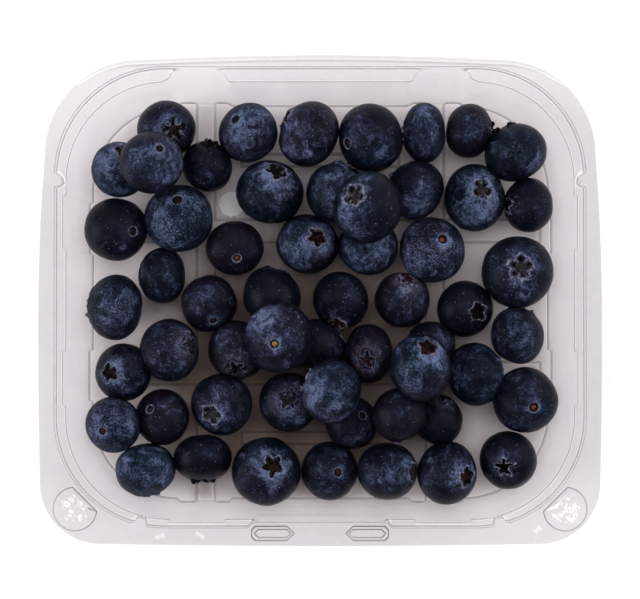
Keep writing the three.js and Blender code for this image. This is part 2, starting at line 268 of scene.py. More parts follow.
# %% Panels, lugs and stations
PANEL_DEPTH = 0.9
PANEL_EDGE, SOFT_EDGE = 0.35, 1.2
SIDE_PANEL = (13.2, 26.9)
END_PANEL = (24.5, 38.5)
PANEL_LEAN = 2.15
FLUSH_FRONT, FLUSH_EDGE, FLUSH_DEPTH = 17.9, 0.8, 1.45
LUG_RADIUS, LUG_REACH = 1.8, 2
SIDE_LUG, FRONT_LUG = (67.6, 30.6), (46.0, -57.2)
BACK_RUN, SIDE_RUN, FRONT_RUN = (0, 38.8), (-29.8, 30.2), (0, 38.5)  # the straight stretches
STATION_GAP, FINE_GAP, LEAST_GAP = 1.1, 0.25, 0.08


def panel_share(station):
    """1 on a panel, 0 beside it, with a soft step between."""
    run, at = station
    if run == "side":
        return band(abs(at), *SIDE_PANEL, PANEL_EDGE)
    edges = {"back": SOFT_EDGE, "front": PANEL_EDGE}
    return band(abs(at), *END_PANEL, edges[run]) if run in edges else 0.0


def flush_share(station):
    """1 along the middle of the front, where the mouth comes in and narrows the ledge."""
    run, at = station
    if run != "front":
        return 0.0
    return 1 - smooth(at, FLUSH_FRONT - FLUSH_EDGE, FLUSH_FRONT + FLUSH_EDGE)


def backness(station):
    """1 along the back of the rim, fading round its corners: the trimmed hinge strip."""
    run, at = station
    if run == "back":
        return 1.0
    return max(0.0, math.cos(2 * at)) if run == "back corner" else 0.0


def spread(low, high, edges=(), fine=()):
    """Places from low to high: evenly, closer at each edge, and closer over a fine stretch."""
    places = [*np.linspace(low, high, 1 + round((high - low) / STATION_GAP))]
    places += [edge + share * PANEL_EDGE for edge in edges for share in (-1, -0.5, 0, 0.5, 1)]
    places += [*np.arange(*fine, FINE_GAP)] if fine else []
    return thinned(places, LEAST_GAP)


def quarter_turn(radius, fine=()):
    """Angles over a quarter turn, from lengths along an arc of that radius."""
    arc = radius * math.pi / 2
    return [length / radius for length in spread(STATION_GAP, arc, fine=fine)]


def half_stations():
    """The right half's stations, clockwise from the middle of the back to that of the front."""
    ends = (*END_PANEL, *groove_sides(LONG_GROOVES))
    sides = [sign * edge for edge in (*SIDE_PANEL, *groove_sides(CROSS_GROOVES)) for sign in (-1, 1)]
    back_round, front_round = MOUTH_PLAN["rounds"]
    along = math.asin((FRONT_LUG[0] - MOUTH_PLAN["corners"][1][0]) / front_round) * front_round
    runs = (
        ("back", spread(*BACK_RUN, ends)),
        ("back corner", quarter_turn(back_round)),
        ("side", reversed(spread(*SIDE_RUN, sides, (SIDE_LUG[1] - LUG_REACH, SIDE_RUN[1])))),
        ("front corner", reversed(quarter_turn(front_round, (along - LUG_REACH, along + LUG_REACH)))),
        ("front", reversed(spread(*FRONT_RUN, (FLUSH_FRONT, *ends)))),
    )
    return [(run, at) for run, places in runs for at in places]


STATIONS = half_stations()
print("stations round the tray:", 2 * len(STATIONS) - 2)

# %% [markdown]
# ## The sheet's section
#
# The section runs from the floor up the wall, over the ledge and out onto the rim. It is given as
# corners with the size of each bend, the way a mould maker thinks of it, and a quadratic curve
# then rounds each corner. The wall between has rows of its own for the creases of the front and
# for the slight waves that drawn sheet always has, and the narrow ledge has two, which keep its
# shading flat.

# %% The section at a station
FOOT_OUT, WALL_TOP = 0.25, 37.1
FOOT_BEND, WALL_BEND, MOUTH_BEND = 0.5, 0.4, 0.16
FLOOR_ROWS = (-2.5, -2.15, -1.8, -1.4, -1.0, -0.7)
LOW_ROWS = (0.05, 0.09, 0.13, 0.22, 0.32, 0.365, 0.38, 0.395)  # shares of the wall's height
HIGH_ROWS = (0.45, 0.55, 0.65, 0.73, 0.745, 0.76, 0.85, 0.93)
LEDGE_ROWS = (0.3, 0.8)
MOUTH_SLOPE, MOUTH_FLAT, LUG_DIP = 0.3, 0.3, 0.3
CREASE = {"half": 17, "low": 15.0, "high": 28.3, "depth": 0.15, "soft": 0.5}
WAVE = {"height": 0.1, "length": 13, "from": (4, 12), "to": (30, 36)}
HINGE_STRIP = {"width": 1.8, "plain": 0.4, "drop": 0.6, "slope": 0.15, "bend": 0.12}
BEND_ROOM = {False: 0.9, True: 0.45}  # its share of the way to a next corner without or with a bend


def lug_bulge(station):
    """How far a lug pushes the mouth's wall inwards."""
    x, y = plan_point(MOUTH_PLAN, station)
    left = [LUG_RADIUS**2 - (x - lug[0]) ** 2 - (y - lug[1]) ** 2 for lug in (SIDE_LUG, FRONT_LUG)]
    return math.sqrt(max(0.0, *left))


def wall_relief(station, x, y, z):
    """The creases of the front wall and the waves of drawn sheet, outwards."""
    calm = smooth(z, *WAVE["from"]) * (1 - smooth(z, *WAVE["to"]))
    wave = WAVE["height"] * calm * noise.noise(Vector((x, y, z)) / WAVE["length"])
    if station[0] != "front":
        return wave
    half, soft = CREASE["half"], CREASE["soft"]
    across = 1 - smooth(station[1], half - soft, half + soft)
    return wave + CREASE["depth"] * across * band(z, CREASE["low"], CREASE["high"], soft)


def wall_corner(station, share):
    """A point of the wall at a share of its height."""
    z = FLOOR_TOP + share * (WALL_TOP - FLOOR_TOP)
    step = PANEL_DEPTH * panel_share(station)
    lean = share * PANEL_LEAN * panel_share(station) if station[0] == "back" else 0.0
    low = Vector(plan_point(FLOOR_PLAN, station, FOOT_OUT))
    middle = low.lerp(Vector(plan_point(WALL_PLAN, station)), share)
    outwards = (low - Vector(plan_point(FLOOR_PLAN, station, -5))).normalized()
    place = middle + outwards * (step + lean + wall_relief(station, *middle, z))
    return (*place, z)


def section(station):
    """The corners of the sheet's inner face at a station, each with its bend."""
    mouth = -FLUSH_DEPTH * flush_share(station)
    bulge = lug_bulge(station)
    corners = []
    for out in FLOOR_ROWS:
        x, y = plan_point(FLOOR_PLAN, station, out)
        corners.append(((x, y, floor_height(x, y)), 0))
    x, y, _ = wall_corner(station, 0)
    corners.append(((x, y, floor_height(x, y)), FOOT_BEND))
    corners += [(wall_corner(station, share), 0) for share in LOW_ROWS + HIGH_ROWS]
    top = Vector(wall_corner(station, 1))
    foot = Vector((*plan_point(MOUTH_PLAN, station, mouth - MOUTH_SLOPE - bulge), LEDGE_TOP))
    high = plan_point(MOUTH_PLAN, station, mouth - bulge)
    corners.append((top, WALL_BEND))
    corners += [(top.lerp(foot, share), 0) for share in LEDGE_ROWS]
    corners.append((foot, MOUTH_BEND))
    corners.append(((*high, RIM_TOP - LUG_DIP * min(1, bulge)), MOUTH_BEND))
    corners.append(((*plan_point(MOUTH_PLAN, station, mouth + MOUTH_FLAT), RIM_TOP), 0))
    return corners


def strip_section(station):
    """The rim's outer strip: a narrow plain edge, and along the back a wider step down."""
    share = backness(station)
    width = HINGE_STRIP["plain"] + (HINGE_STRIP["width"] - HINGE_STRIP["plain"]) * share
    low, bend = RIM_TOP - HINGE_STRIP["drop"] * share, HINGE_STRIP["bend"]
    places = (  # how far outside the edge, how high, and the bend there
        (-width, RIM_TOP, 0),
        (HINGE_STRIP["slope"] - width, RIM_TOP, bend),
        (-width / 2, low, bend),
        (0, low, 0),
    )
    return [((*plan_point(EDGE_PLAN, station, out), z), bend) for out, z, bend in places]


def rounded(corners, steps=4):
    """The corners as a line of points, each bend drawn as a quadratic curve."""
    line = [Vector(corners[0][0])]
    for before, (place, bend), after in zip(corners, corners[1:], corners[2:]):
        here = Vector(place)
        if not bend:
            line.append(here)
            continue
        ways = [(Vector(other) - here, BEND_ROOM[bent > 0]) for other, bent in (before, after)]
        reach = min(bend, *(way.length * room for way, room in ways))
        start, end = (here + way.normalized() * reach for way, _ in ways)
        for i in range(steps + 1):
            t = i / steps
            line.append(start * (1 - t) ** 2 + here * 2 * t * (1 - t) + end * t * t)
    return [*line, Vector(corners[-1][0])]


def loft(section_at):
    """Rings of points round the whole tray, from its right half and the mirror image of that."""
    right = [rounded(section_at(station)) for station in STATIONS]
    flip = Vector((-1, 1, 1))
    left = [[point * flip for point in line] for line in right[1:-1]]
    return np.array([*right, *reversed(left)])


print("points in a section:", len(rounded(section(STATIONS[0]))))

# %% [markdown]
# ## Filling a flat outline
#
# The floor and the flat of the rim aren't lofts: they have holes and raised forms in them. A
# constrained triangulation goes through the edges of all the given loops, and what lies outside
# the first loop or inside a hole is dropped.

# %% Fill between loops
SAME_POINT = 1e-5


def inside(points, loop):
    """Which points lie in a closed loop, by counting the edges to one side of each."""
    x, y = np.array(points).T[:, :, None]
    a = np.array([p[:2] for p in loop])
    b = np.roll(a, -1, axis=0)
    crosses = (a[:, 1] > y) != (b[:, 1] > y)
    slope = (b[:, 0] - a[:, 0]) / np.where(b[:, 1] == a[:, 1], 1, b[:, 1] - a[:, 1])
    return np.count_nonzero(crosses & (a[:, 0] + (y - a[:, 1]) * slope > x), axis=1) % 2 == 1


def circle(x, y, radius, sides):
    """A closed loop of points on a circle."""
    turns = [2 * math.pi * i / sides for i in range(sides)]
    return [(x + radius * math.cos(a), y + radius * math.sin(a)) for a in turns]


def filled(loops, holes, spare, height_at):
    """Points and faces of the area within the first loop, less the holes."""
    points, edges = [], []
    for loop in loops:
        first = len(points)
        points += [Vector(p[:2]) for p in loop]
        edges += [(first + i, first + (i + 1) % len(loop)) for i in range(len(loop))]
    points += [Vector(p) for p in spare]
    made, _, faces, origin, _, _ = delaunay_2d_cdt(points, edges, [], 0, SAME_POINT, True)
    middles = [sum((made[i] for i in face), Vector((0, 0))) / len(face) for face in faces]
    keep = inside(middles, loops[0])
    for hole in holes:
        keep &= ~inside(middles, hole)
    solid = [(*p, height_at(p, sources)) for p, sources in zip(made, origin)]
    return solid, [face for face, kept in zip(faces, keep) if kept]


print("a ring of 8 points lies inside one of 9:", inside(circle(0, 0, 1, 8), circle(0, 0, 2, 9)).all())

# %% [markdown]
# ## The floor
#
# The floor is a grid whose lines lie where the grooves bend. It is fitted into the wall's lowest
# ring and round the four vents, and sags and rises a little between the grooves.

# %% The floor's grid
GRID_GAP, GRID_LEAST = 2.6, 0.1
GRID_REACH = (58, 50)
GRID_MARGIN = -2.9
SLOPE_STEPS = (-0.15, 0, 0.2, 0.4, 0.6, 0.8, 1, 1.15)  # where grid lines cross a groove's slope
VENT_ROOM = 0.4
SAG = {"height": 0.06, "length": 12, "border": (1, 8)}


def grid_lines(axis):
    """Where grid lines cross one axis: evenly, and closer over every slope of a groove."""
    reach = GRID_REACH[axis]
    lines = [*np.linspace(-reach, reach, 1 + round(2 * reach / GRID_GAP))]
    for groove in GROOVES:
        if groove["along"] == axis:
            slopes = [(end, -end / abs(end)) for end in (-groove["half"], groove["half"])]
        else:
            slopes = [(at + s * groove["width"] / 2, -s) for at in groove["at"] for s in (-1, 1)]
        for edge, inwards in slopes:
            span = groove["draft"] + 2 * GROOVE_BEND
            lines += [edge + inwards * (span * step - GROOVE_BEND) for step in SLOPE_STEPS]
    return thinned([line for line in lines if abs(line) <= reach], GRID_LEAST)


def floor_mesh(outline):
    """The floor within the wall's lowest ring."""
    places = [(sx * VENT["x"], sy * VENT["y"]) for sx in (-1, 1) for sy in (-1, 1)]
    vents = [circle(*place, VENT["radius"], VENT["sides"]) for place in places]
    right = [plan_point(FLOOR_PLAN, station, GRID_MARGIN) for station in STATIONS]
    border = [*right, *((-x, y) for x, y in reversed(right[1:-1]))]
    spare = [(x, y) for x in grid_lines(0) for y in grid_lines(1)]
    clear = inside(spare, border)
    for place in places:
        clear &= ~inside(spare, circle(*place, VENT["radius"] + VENT_ROOM, VENT["sides"]))

    def height(point, _):
        flat = floor_height(*point)
        border_gap = min(reach - abs(at) for reach, at in zip(GRID_REACH, point))
        calm = smooth(border_gap, *SAG["border"]) * (flat - SHEET) / GROOVE_DEPTH
        return flat + SAG["height"] * calm * noise.noise(Vector((*point, 0)) / SAG["length"])

    return filled([outline, *vents], vents, [p for p, kept in zip(spare, clear) if kept], height)


print("grid lines along and across:", len(grid_lines(0)), len(grid_lines(1)))

# %% [markdown]
# ## The flat of the rim
#
# The rim carries two closing buttons at the front and a finger pad at each front corner, all
# pushed up out of the sheet, and a few small dents. Each form is a pair of outlines, one smaller
# and higher than the other, and the triangulation makes the slope between them.

# %% Buttons and pads
BUTTON = {"x": 12, "y": -59.5, "half": 5.6, "width": 4.0, "rise": 0.4, "slope": 0.18, "chamfer": 1.0}
BUTTON_TOP = {"inset": 0.8, "rise": 0.3, "slope": 0.14}
DENT = {"width": 0.9, "rise": 0.16, "slope": 0.4, "sides": 16}
DENTS = ((-40.8, -60.3, 3.2, 20), (-30.6, -60, 3.6, -35), (55.5, -58.6, 2.4, 40))  # x, y, length, turn
PAD = {"x": 62.5, "y": -53.3, "radius": 5.7, "rise": 0.2, "chord": 3.6, "slope": 0.14, "sides": 36}
TOWARDS_MOUTH = math.radians(135)
CRUMPLE = {"reach": 4.7, "height": 0.42, "length": 0.9, "gap": 0.3, "fade": 0.7, "even": 0.25}


def button_outline(side, inset):
    """Long and low: cut off at its outer end, and pointed at the end towards the middle."""
    half, wide, cut = BUTTON["half"] - inset, BUTTON["width"] / 2 - inset, BUTTON["chamfer"]
    lower = [(wide - half, -wide), (half - cut, -wide), (half, cut - wide)]
    points = [(-half, 0), *lower, *((x, -y) for x, y in reversed(lower))]
    return [(side * (BUTTON["x"] + x), BUTTON["y"] + y) for x, y in points]


def dent_outline(dent, inset):
    """A slim ellipse, where the rim was knocked."""
    x, y, length, angle = dent
    turned = Matrix.Rotation(math.radians(angle), 2)
    half = Vector((length / 2 - inset, DENT["width"] / 2 - inset))
    return [Vector((x, y)) + turned @ (Vector(p) * half) for p in circle(0, 0, 1, DENT["sides"])]


def pad_outline(side, inset):
    """A disc cut straight on the side towards the mouth."""
    radius = PAD["radius"] - inset
    half = math.acos((PAD["chord"] - inset) / radius)
    turns = np.linspace(TOWARDS_MOUTH + half, TOWARDS_MOUTH - half + 2 * math.pi, PAD["sides"])
    return [(side * (PAD["x"] + radius * math.cos(a)), PAD["y"] + radius * math.sin(a)) for a in turns]


def crumple(x, y):
    """The height of a pad's pressed and wrinkled top, above that of its edge."""
    off = math.hypot(abs(x) - PAD["x"], y - PAD["y"]) / CRUMPLE["reach"]
    ridge = abs(noise.noise(Vector((x, y, 4)) / CRUMPLE["length"]))
    return CRUMPLE["height"] * (1 - smooth(off, CRUMPLE["fade"], 1)) * (ridge - CRUMPLE["even"])


def rim_mesh(inner, outer):
    """The flat of the rim between the mouth and the outer strip, with its raised forms."""
    loops, heights = [outer, inner], [RIM_TOP, RIM_TOP]
    both = (-1, 1)
    forms = (  # outline, its copies, its measures, how far in it starts, the height of its foot
        (button_outline, both, BUTTON, 0, 0),
        (button_outline, both, BUTTON_TOP, BUTTON_TOP["inset"], BUTTON["rise"]),
        (pad_outline, both, PAD, 0, 0),
        (dent_outline, DENTS, DENT, 0, 0),
    )
    for outline, copies, form, start, foot in forms:
        for copy in copies:
            loops += [outline(copy, start), outline(copy, start + form["slope"])]
            heights += [RIM_TOP + foot, RIM_TOP + foot + form["rise"]]
    owner = [height for loop, height in zip(loops, heights) for _ in loop]
    steps = np.arange(-CRUMPLE["reach"], CRUMPLE["reach"], CRUMPLE["gap"])
    spare = [
        (side * (PAD["x"] + dx), PAD["y"] + dy)
        for side in both
        for dx in steps
        for dy in steps
        if math.hypot(dx, dy) < CRUMPLE["reach"] and (dy - dx) * math.sqrt(0.5) < PAD["chord"] - 1
    ]

    def height(point, sources):
        on_loop = [source for source in sources if source < len(owner)]
        return owner[on_loop[0]] if on_loop else RIM_TOP + PAD["rise"] + crumple(*point)

    return filled(loops, [inner], spare, height)


print("points round a button and a pad:", len(button_outline(1, 0)), len(pad_outline(1, 0)))

# %% [markdown]
# ## The tray as one sheet
#
# The four stretches share their border points, so merging by distance joins them into one sheet.
# Solidify then gives it the real thickness on its outer side. A sheet with two faces matters here:
# light passes both, and every fold shows twice. Only bends of more than 35 degrees between two
# faces are left sharp, so that flat stretches stay flat to the very edge of a fold.

# %% Build the tray
SHARP = math.radians(35)
WELD_GAP = 0.02


def ring_faces(rings, first):
    """The quads of a loft, with their upper or inner side as the front."""
    around, rows = rings.shape[:2]
    faces = []
    for i in range(around):
        a, b = first + i * rows, first + (i + 1) % around * rows
        faces += [(a + k, b + k, b + k + 1, a + k + 1) for k in range(rows - 1)]
    return faces


def build_tray():
    """The floor, the wall, the flat of the rim and its outer strip, welded and thickened."""
    wall, strip = loft(section), loft(strip_section)
    points, faces = [], []
    for rings in (wall, strip):
        faces += ring_faces(rings, len(points))
        points += [tuple(p) for p in rings.reshape(-1, 3)]
    for flat_points, flat_faces in (floor_mesh(wall[:, 0]), rim_mesh(wall[:, -1], strip[:, 0])):
        faces += [tuple(len(points) + i for i in face) for face in flat_faces]
        points += flat_points
    made = mesh_piece("clear_tray", points, faces)
    weld = made.modifiers.new("Weld", "WELD")
    weld.merge_threshold = WELD_GAP * MM
    sheet = made.modifiers.new("Solidify", "SOLIDIFY")
    sheet.thickness = SHEET * MM
    sheet.offset = -1
    freeze(made)
    made.data.set_sharp_from_angle(angle=SHARP)
    return made


tray = build_tray()
print("triangles in the tray:", triangles(tray))

# %% [markdown]
# ## Clear plastic
#
# So thin a sheet hardly bends what is seen through it. It takes a little of the light away, and
# only at its folds does it send the light aside: that is painted in, as a thin dark line with a
# bright one beside each fold, and how level the face is says where a fold is. Rim, walls and floor
# are tinted a little apart as painted shade, so the walls and the floor let a little less through
# than the rim. The floor is also painted darker and browner towards its middle, as painted shade
# where the fruit shuts out the light. The rest is rubbed plastic, which grows where the sheet is
# seen along its face, as on the walls from above, and which mirrors the lamps in its waves. Real
# refraction would be the other way to make it, but its steep walls would then mirror the fruit as
# dark blobs. To the lamps the sheet is simply clear, so that the fruit and the table under it are
# lit without noise.

# %% Tray material
SPLIT_XYZ, RANGE, MIX = "ShaderNodeSeparateXYZ", "ShaderNodeMapRange", "ShaderNodeMix"
NOISE, MATH, VECTOR_MATH = "ShaderNodeTexNoise", "ShaderNodeMath", "ShaderNodeVectorMath"
# rim, walls and floor are tinted a little apart as painted shade: the walls and the floor let a little less
# light through than the rim
RIM_TINT, WALL_TINT, FLOOR_TINT = "#fefcfd", "#f8f5f6", "#f6f2f3"  # of the light let through
# the floor's painted shade is darker and browner towards its middle, where the fruit shuts out the light
FLOOR_SHADE_TINT, SHADOW_TINT, RUBBED_COLOUR = "#c6bab6", "#fafafa", "#d8d7da"
# ranges: where a value starts and ends, and what those two become if not 0 and 1
RIM_FROM, FLOOR_TO = (0.0355, 0.0368), (0.00185, 0.00187, 1, 0)  # heights in metres
FLOOR_SHADE_AT, FLOOR_SHADE_REACH = (-0.006, -0.018, 0), (1 / 0.052, 1 / 0.044, 0)  # middle, and one over half sizes
FLOOR_SHADE_EDGE = (0.45, 1, 1, 0)
# painted: a dark and a bright line at each fold, and the walls a little lighter than the flats
LINES = (  # how level the face is, and how much light it lets through
    *((0, 0.93), (0.16, 0.93), (0.3, 0.42), (0.72, 0.42)),
    *((0.88, 1), (0.95, 1), (0.985, 0.8)),
)
FLOOR_LINES = (0.3, 0.71)  # the share of it that a groove in the floor shows, and what always gets through
HAZE = (0.4, 0.75, 0.03, 0.1)  # of the rim, from a noise
WALL_HAZE, GLANCE = 0.15, 0.25  # its share on the walls, and the most that a glancing view adds


def tray_material():
    """A clear sheet with painted lines at its folds and painted shade on its floor, and rubbed plastic over
    it.
    """
    made, tree = blank_material("clear_pet_plastic")  # clear drawn sheet, glossy, lightly scuffed
    place = add(tree, "ShaderNodeTexCoord").outputs["Object"]
    height = add(tree, SPLIT_XYZ, (place,)).outputs["Z"]
    high = add(tree, RANGE, (height, *RIM_FROM))
    low = add(tree, RANGE, (height, *FLOOR_TO))

    # painted shade on the floor, darker and browner among the fruit: it lies before the middle, with an edge
    # blotched every centimetre
    off = add(tree, VECTOR_MATH, (place, FLOOR_SHADE_AT), operation="SUBTRACT")
    off = add(tree, VECTOR_MATH, (off, FLOOR_SHADE_REACH), operation="MULTIPLY")
    off = add(tree, VECTOR_MATH, (off,), operation="LENGTH").outputs["Value"]
    blotch = add(tree, NOISE, {"Vector": place, "Scale": 90, "Detail": 3})
    off = add(tree, MATH, (blotch, 0.5, off), operation="MULTIPLY_ADD")
    off = add(tree, MATH, (off, 0.25), operation="SUBTRACT")
    floor_shade = add(tree, RANGE, (off, *FLOOR_SHADE_EDGE), interpolation_type="SMOOTHSTEP")
    tint = linear(WALL_TINT)
    ground = add(tree, MIX, {0: floor_shade, 6: linear(FLOOR_TINT), 7: linear(FLOOR_SHADE_TINT)}, data_type="RGBA")
    for share, colour in ((high, linear(RIM_TINT)), (low, ground)):
        tint = add(tree, MIX, {0: share, 6: tint, 7: colour}, data_type="RGBA")

    # a fold bends the light aside; the dark line that draws, and the bright one beside it, are painted into
    # the light let through by how level the face is
    normal = add(tree, "ShaderNodeNewGeometry").outputs["Normal"]
    level = add(tree, SPLIT_XYZ, (normal,)).outputs["Z"]
    level = add(tree, MATH, (level,), operation="ABSOLUTE")
    fold = add(tree, "ShaderNodeFloatCurve", {"Value": level})
    curve = fold.mapping.curves[0]
    fold.mapping.extend = "HORIZONTAL"
    for point, spot in zip(curve.points, (LINES[0], LINES[-1])):
        point.location = spot
    for spot in LINES[1:-1]:
        curve.points.new(*spot)
    fold.mapping.update()
    gentle = add(tree, MATH, (fold, *FLOOR_LINES), operation="MULTIPLY_ADD")
    fold = add(tree, RANGE, (low, 0, 1, fold, gentle))
    through = add(tree, VECTOR_MATH, {0: tint, "Scale": fold}, operation="SCALE")
    clear = add(tree, "ShaderNodeBsdfTransparent", {"Color": through})

    # rubbed and dusty, most of all the rim, and wavy every 14 mm where it would mirror a lamp
    rubs = add(tree, NOISE, {"Vector": place, "Scale": 60, "Detail": 6, "Roughness": 0.7})
    haze = add(tree, RANGE, (rubs, *HAZE))
    rubbed = add(tree, RANGE, (high, 0, 1, WALL_HAZE, 1))
    haze = add(tree, MATH, (haze, rubbed), operation="MULTIPLY")
    wave = add(tree, NOISE, {"Vector": place, "Scale": 70, "Detail": 0})
    bump = add(tree, "ShaderNodeBump", {"Height": wave, "Strength": 1.0, "Distance": 0.0005})
    gloss = {"Base Color": linear(RUBBED_COLOUR), "Roughness": 0.12, "IOR": 1.5, "Normal": bump}
    plastic = add(tree, "ShaderNodeBsdfPrincipled", gloss)
    along = add(tree, "ShaderNodeLayerWeight", {"Blend": 0.5, "Normal": bump}).outputs["Facing"]
    along = add(tree, MATH, (along, 4.0), operation="POWER")
    share = add(tree, MATH, (along, GLANCE, haze), operation="MULTIPLY_ADD")
    sheet = add(tree, "ShaderNodeMixShader", (share, clear, plastic))
    rays = add(tree, "ShaderNodeLightPath").outputs["Is Shadow Ray"]
    shadow = add(tree, "ShaderNodeBsdfTransparent", {"Color": linear(SHADOW_TINT)})
    mix = add(tree, "ShaderNodeMixShader", (rays, sheet, shadow))
    add(tree, "ShaderNodeOutputMaterial", {"Surface": mix})
    print(made.name, "has", len(tree.nodes), "nodes")
    return made


tray.data.materials.clear()
tray.data.materials.append(tray_material())

# %% [markdown]
# ## One berry
#
# A blueberry is a slightly flattened ball. At one end is the crown, the dried rim of the flower:
# five lobes round a dark hollow. At the other is the small round scar of the stalk. One prototype
# is made for each form of crown, one unit across, ring by ring from pole to pole. Every ring is a
# multiple of the crown's own outline at first, and turns into a circle further out. What a
# painter would mask is kept beside each point: lip, hollow, halo and bottom for the crown, and
# rim, moat, halo and plug for the scar.

# %% Berry prototypes
FLATNESS = 0.88
SQUARENESS = 2.12
SPOKES = 70
CROWN_RINGS = (0.12, 0.25, 0.38, 0.48, 0.58, 0.68, 0.78, 0.86, 0.93)
CROWN_RINGS += (1, 1.06, 1.12, 1.2, 1.3, 1.4, 1.5, 1.75)
BODY_TURNS = (*range(45, 150, 8), 155)
SCAR_RINGS = (0.19, 0.16, 0.135, 0.112, 0.097, 0.086, 0.076, 0.066, 0.054, 0.042, 0.03, 0.014)
CROWNS = {  # radius, lobing, how narrow a lobe is, heights of the lip and the hollow, flare of the tips
    "open": (0.155, 0.13, 0.8, 0.012, -0.04, 0.004),
    "star": (0.125, 0.34, 1.5, 0.01, -0.02, 0),
    "cut": (0.13, 0.36, 1.2, 0.014, -0.06, 0),
    "ragged": (0.15, 0.2, 1.0, 0.016, -0.06, 0.01),
    "spiky": (0.15, 0.26, 1.4, 0.014, -0.05, 0.05),
}


def surface_height(radius):
    """The height of a unit berry's smooth outline above its middle, at a distance from its axis."""
    left = max(0.0, 1 - (2 * radius) ** SQUARENESS)
    return FLATNESS / 2 * left ** (1 / SQUARENESS)


def crown_point(title, t, angle):
    """A point of the crown, at t times its outline, with its two sets of marks."""
    radius, lobing, narrow, lip, floor, flare = CROWNS[title]
    lobe = ((1 + math.cos(5 * angle)) / 2) ** narrow
    fade = 1 - smooth(t, 1.05, 1.7)
    radius *= t * (1 + lobing * fade * (2 * lobe - 1))
    tip = lip + flare
    between = (floor, floor, floor * 0.4, lip * 0.2, lip, lip, lip * 0.4, 0)
    tips = (floor, floor, floor * 0.9, floor * 0.4, tip, tip * 0.9, tip * 0.35, 0)
    stops = (0, 0.48, 0.62, 0.86, 1, 1.06, 1.2, 1.5)
    height = np.interp(t, stops, between) * (1 - lobe) + np.interp(t, stops, tips) * lobe
    hollow = 1 - smooth(t, 0.84, 0.98)
    bottom = 1 - smooth(t, 0.42, 0.6)
    lip_mark = band(t, 0.95, 1.12, 0.07)
    groove = 0.0
    if title == "open":  # the bottom shows between dark notches, and ridges part the notches
        ridge = smooth(t, 0.5, 0.62) * (1 - smooth(lobe, 0.12, 0.4))
        hollow *= 1 - 0.8 * ridge
        lip_mark = max(lip_mark, 0.5 * ridge * (1 - smooth(t, 0.9, 1)))
    elif title == "star":  # closed: narrow dark arms, and a ring pressed round them
        hollow *= 0.35 + 0.5 * smooth(lobe, 0.45, 0.8)
        groove = band(t, 1.36, 1.46, 0.05)
        height -= 0.008 * groove
        lip_mark = max(0.4 * lip_mark, 0.5 * band(t, 1.5, 1.72, 0.1))
    elif title == "spiky":  # the lobes themselves are dark and stand out
        tip_end = 1.1 + 0.15 * lobe
        hollow = max(hollow, (1 - smooth(t, tip_end, tip_end + 0.1)) * smooth(lobe, 0.2, 0.5))
        lip_mark *= 1 - hollow
    halo = smooth(t, 0.95, 1.05) * (1 - smooth(t, 1.3, 2.5))
    return (radius, surface_height(radius) + height), (lip_mark, hollow, halo, bottom), (0, groove, 0, 0)


def scar_point(radius):
    """A point of the stalk's end, with its two sets of marks."""
    stops = (0, 0.03, 0.045, 0.06, 0.074, 0.09, 0.13)
    relief = np.interp(radius, stops, (-0.010, -0.014, -0.030, -0.026, 0.004, 0.005, 0))
    dimple = -0.012 * math.exp(-((radius / 0.1) ** 2))
    marks = (
        band(radius, 0.07, 0.086, 0.007),
        band(radius, 0.036, 0.068, 0.005),
        smooth(radius, 0.07, 0.09) * (1 - smooth(radius, 0.1, 0.2)),
        1 - smooth(radius, 0.03, 0.042),
    )
    return (radius, -surface_height(radius) - relief - dimple), (0, 0, 0, 0), marks


def body_point(title, degrees):
    """A point of the plain body between the two ends."""
    slant = math.radians(degrees)
    radius = math.sin(slant) / 2
    height = math.copysign(surface_height(radius), math.cos(slant))
    halo = 1 - smooth(radius / CROWNS[title][0], 1.3, 2.5) if height > 0 else 0
    return (radius, height), (0, 0, halo, 0), (0, 0, 0, 0)


def berry_prototype(name, title):
    """One berry of unit girth, its crown up, with its marks as colour attributes."""
    turns = [2 * math.pi * i / SPOKES for i in range(SPOKES)]
    rings = [[crown_point(title, t, angle) for angle in turns] for t in CROWN_RINGS]
    rings += [[body_point(title, degrees)] * SPOKES for degrees in BODY_TURNS]
    rings += [[scar_point(radius)] * SPOKES for radius in SCAR_RINGS]
    rows = [(crown_point(title, 0, 0), 0.0)]
    rows += [(row, angle) for ring in rings for row, angle in zip(ring, turns)]
    rows.append((scar_point(0), 0.0))
    places = [(r * math.cos(angle), r * math.sin(angle), z) for ((r, z), _, _), angle in rows]

    last = len(rows) - 1
    around = [(i, (i + 1) % SPOKES) for i in range(SPOKES)]
    faces = [(0, 1 + i, 1 + j) for i, j in around]
    for first in range(1, last - SPOKES, SPOKES):
        faces += [(first + i, first + SPOKES + i, first + SPOKES + j, first + j) for i, j in around]
    faces += [(last, last - SPOKES + j, last - SPOKES + i) for i, j in around]
    made = mesh_piece(name, places, faces)
    made.data.transform(Matrix.Scale(1 / MM, 4))
    keep_beside(made, "crown_marks", "FLOAT_COLOR", [marks for (_, marks, _), _ in rows])
    keep_beside(made, "scar_marks", "FLOAT_COLOR", [marks for (_, _, marks), _ in rows])
    keep_beside(made, "spot", "FLOAT_VECTOR", places)
    return made


prototypes = bpy.data.collections.new("berry_prototypes")
scene.collection.children.link(prototypes)
for rank, title in enumerate(CROWNS):
    berry = berry_prototype(f"{rank}_{title}", title)
    scene.collection.objects.unlink(berry)
    prototypes.objects.link(berry)
print("forms of crown:", len(CROWNS), "triangles in a berry:", triangles(berry))

# %% [markdown]
# ## The heap
#
# Fruit lies as it fell, so the heap is written down berry by berry: where its middle is, how wide
# it is along X and along Y, and where the end that shows is turned. Words say which end that is,
# what the berry rests on if not the floor, the form of its crown, what shows inside it or the scar,
# and its finish. Last come how strong the wax is round that end, and on some where a patch of wax
# has stayed and how thick it is. A berry that shows neither end lies on its side, its crown turned
# the same way but hidden. Sizes and places are in millimetres.

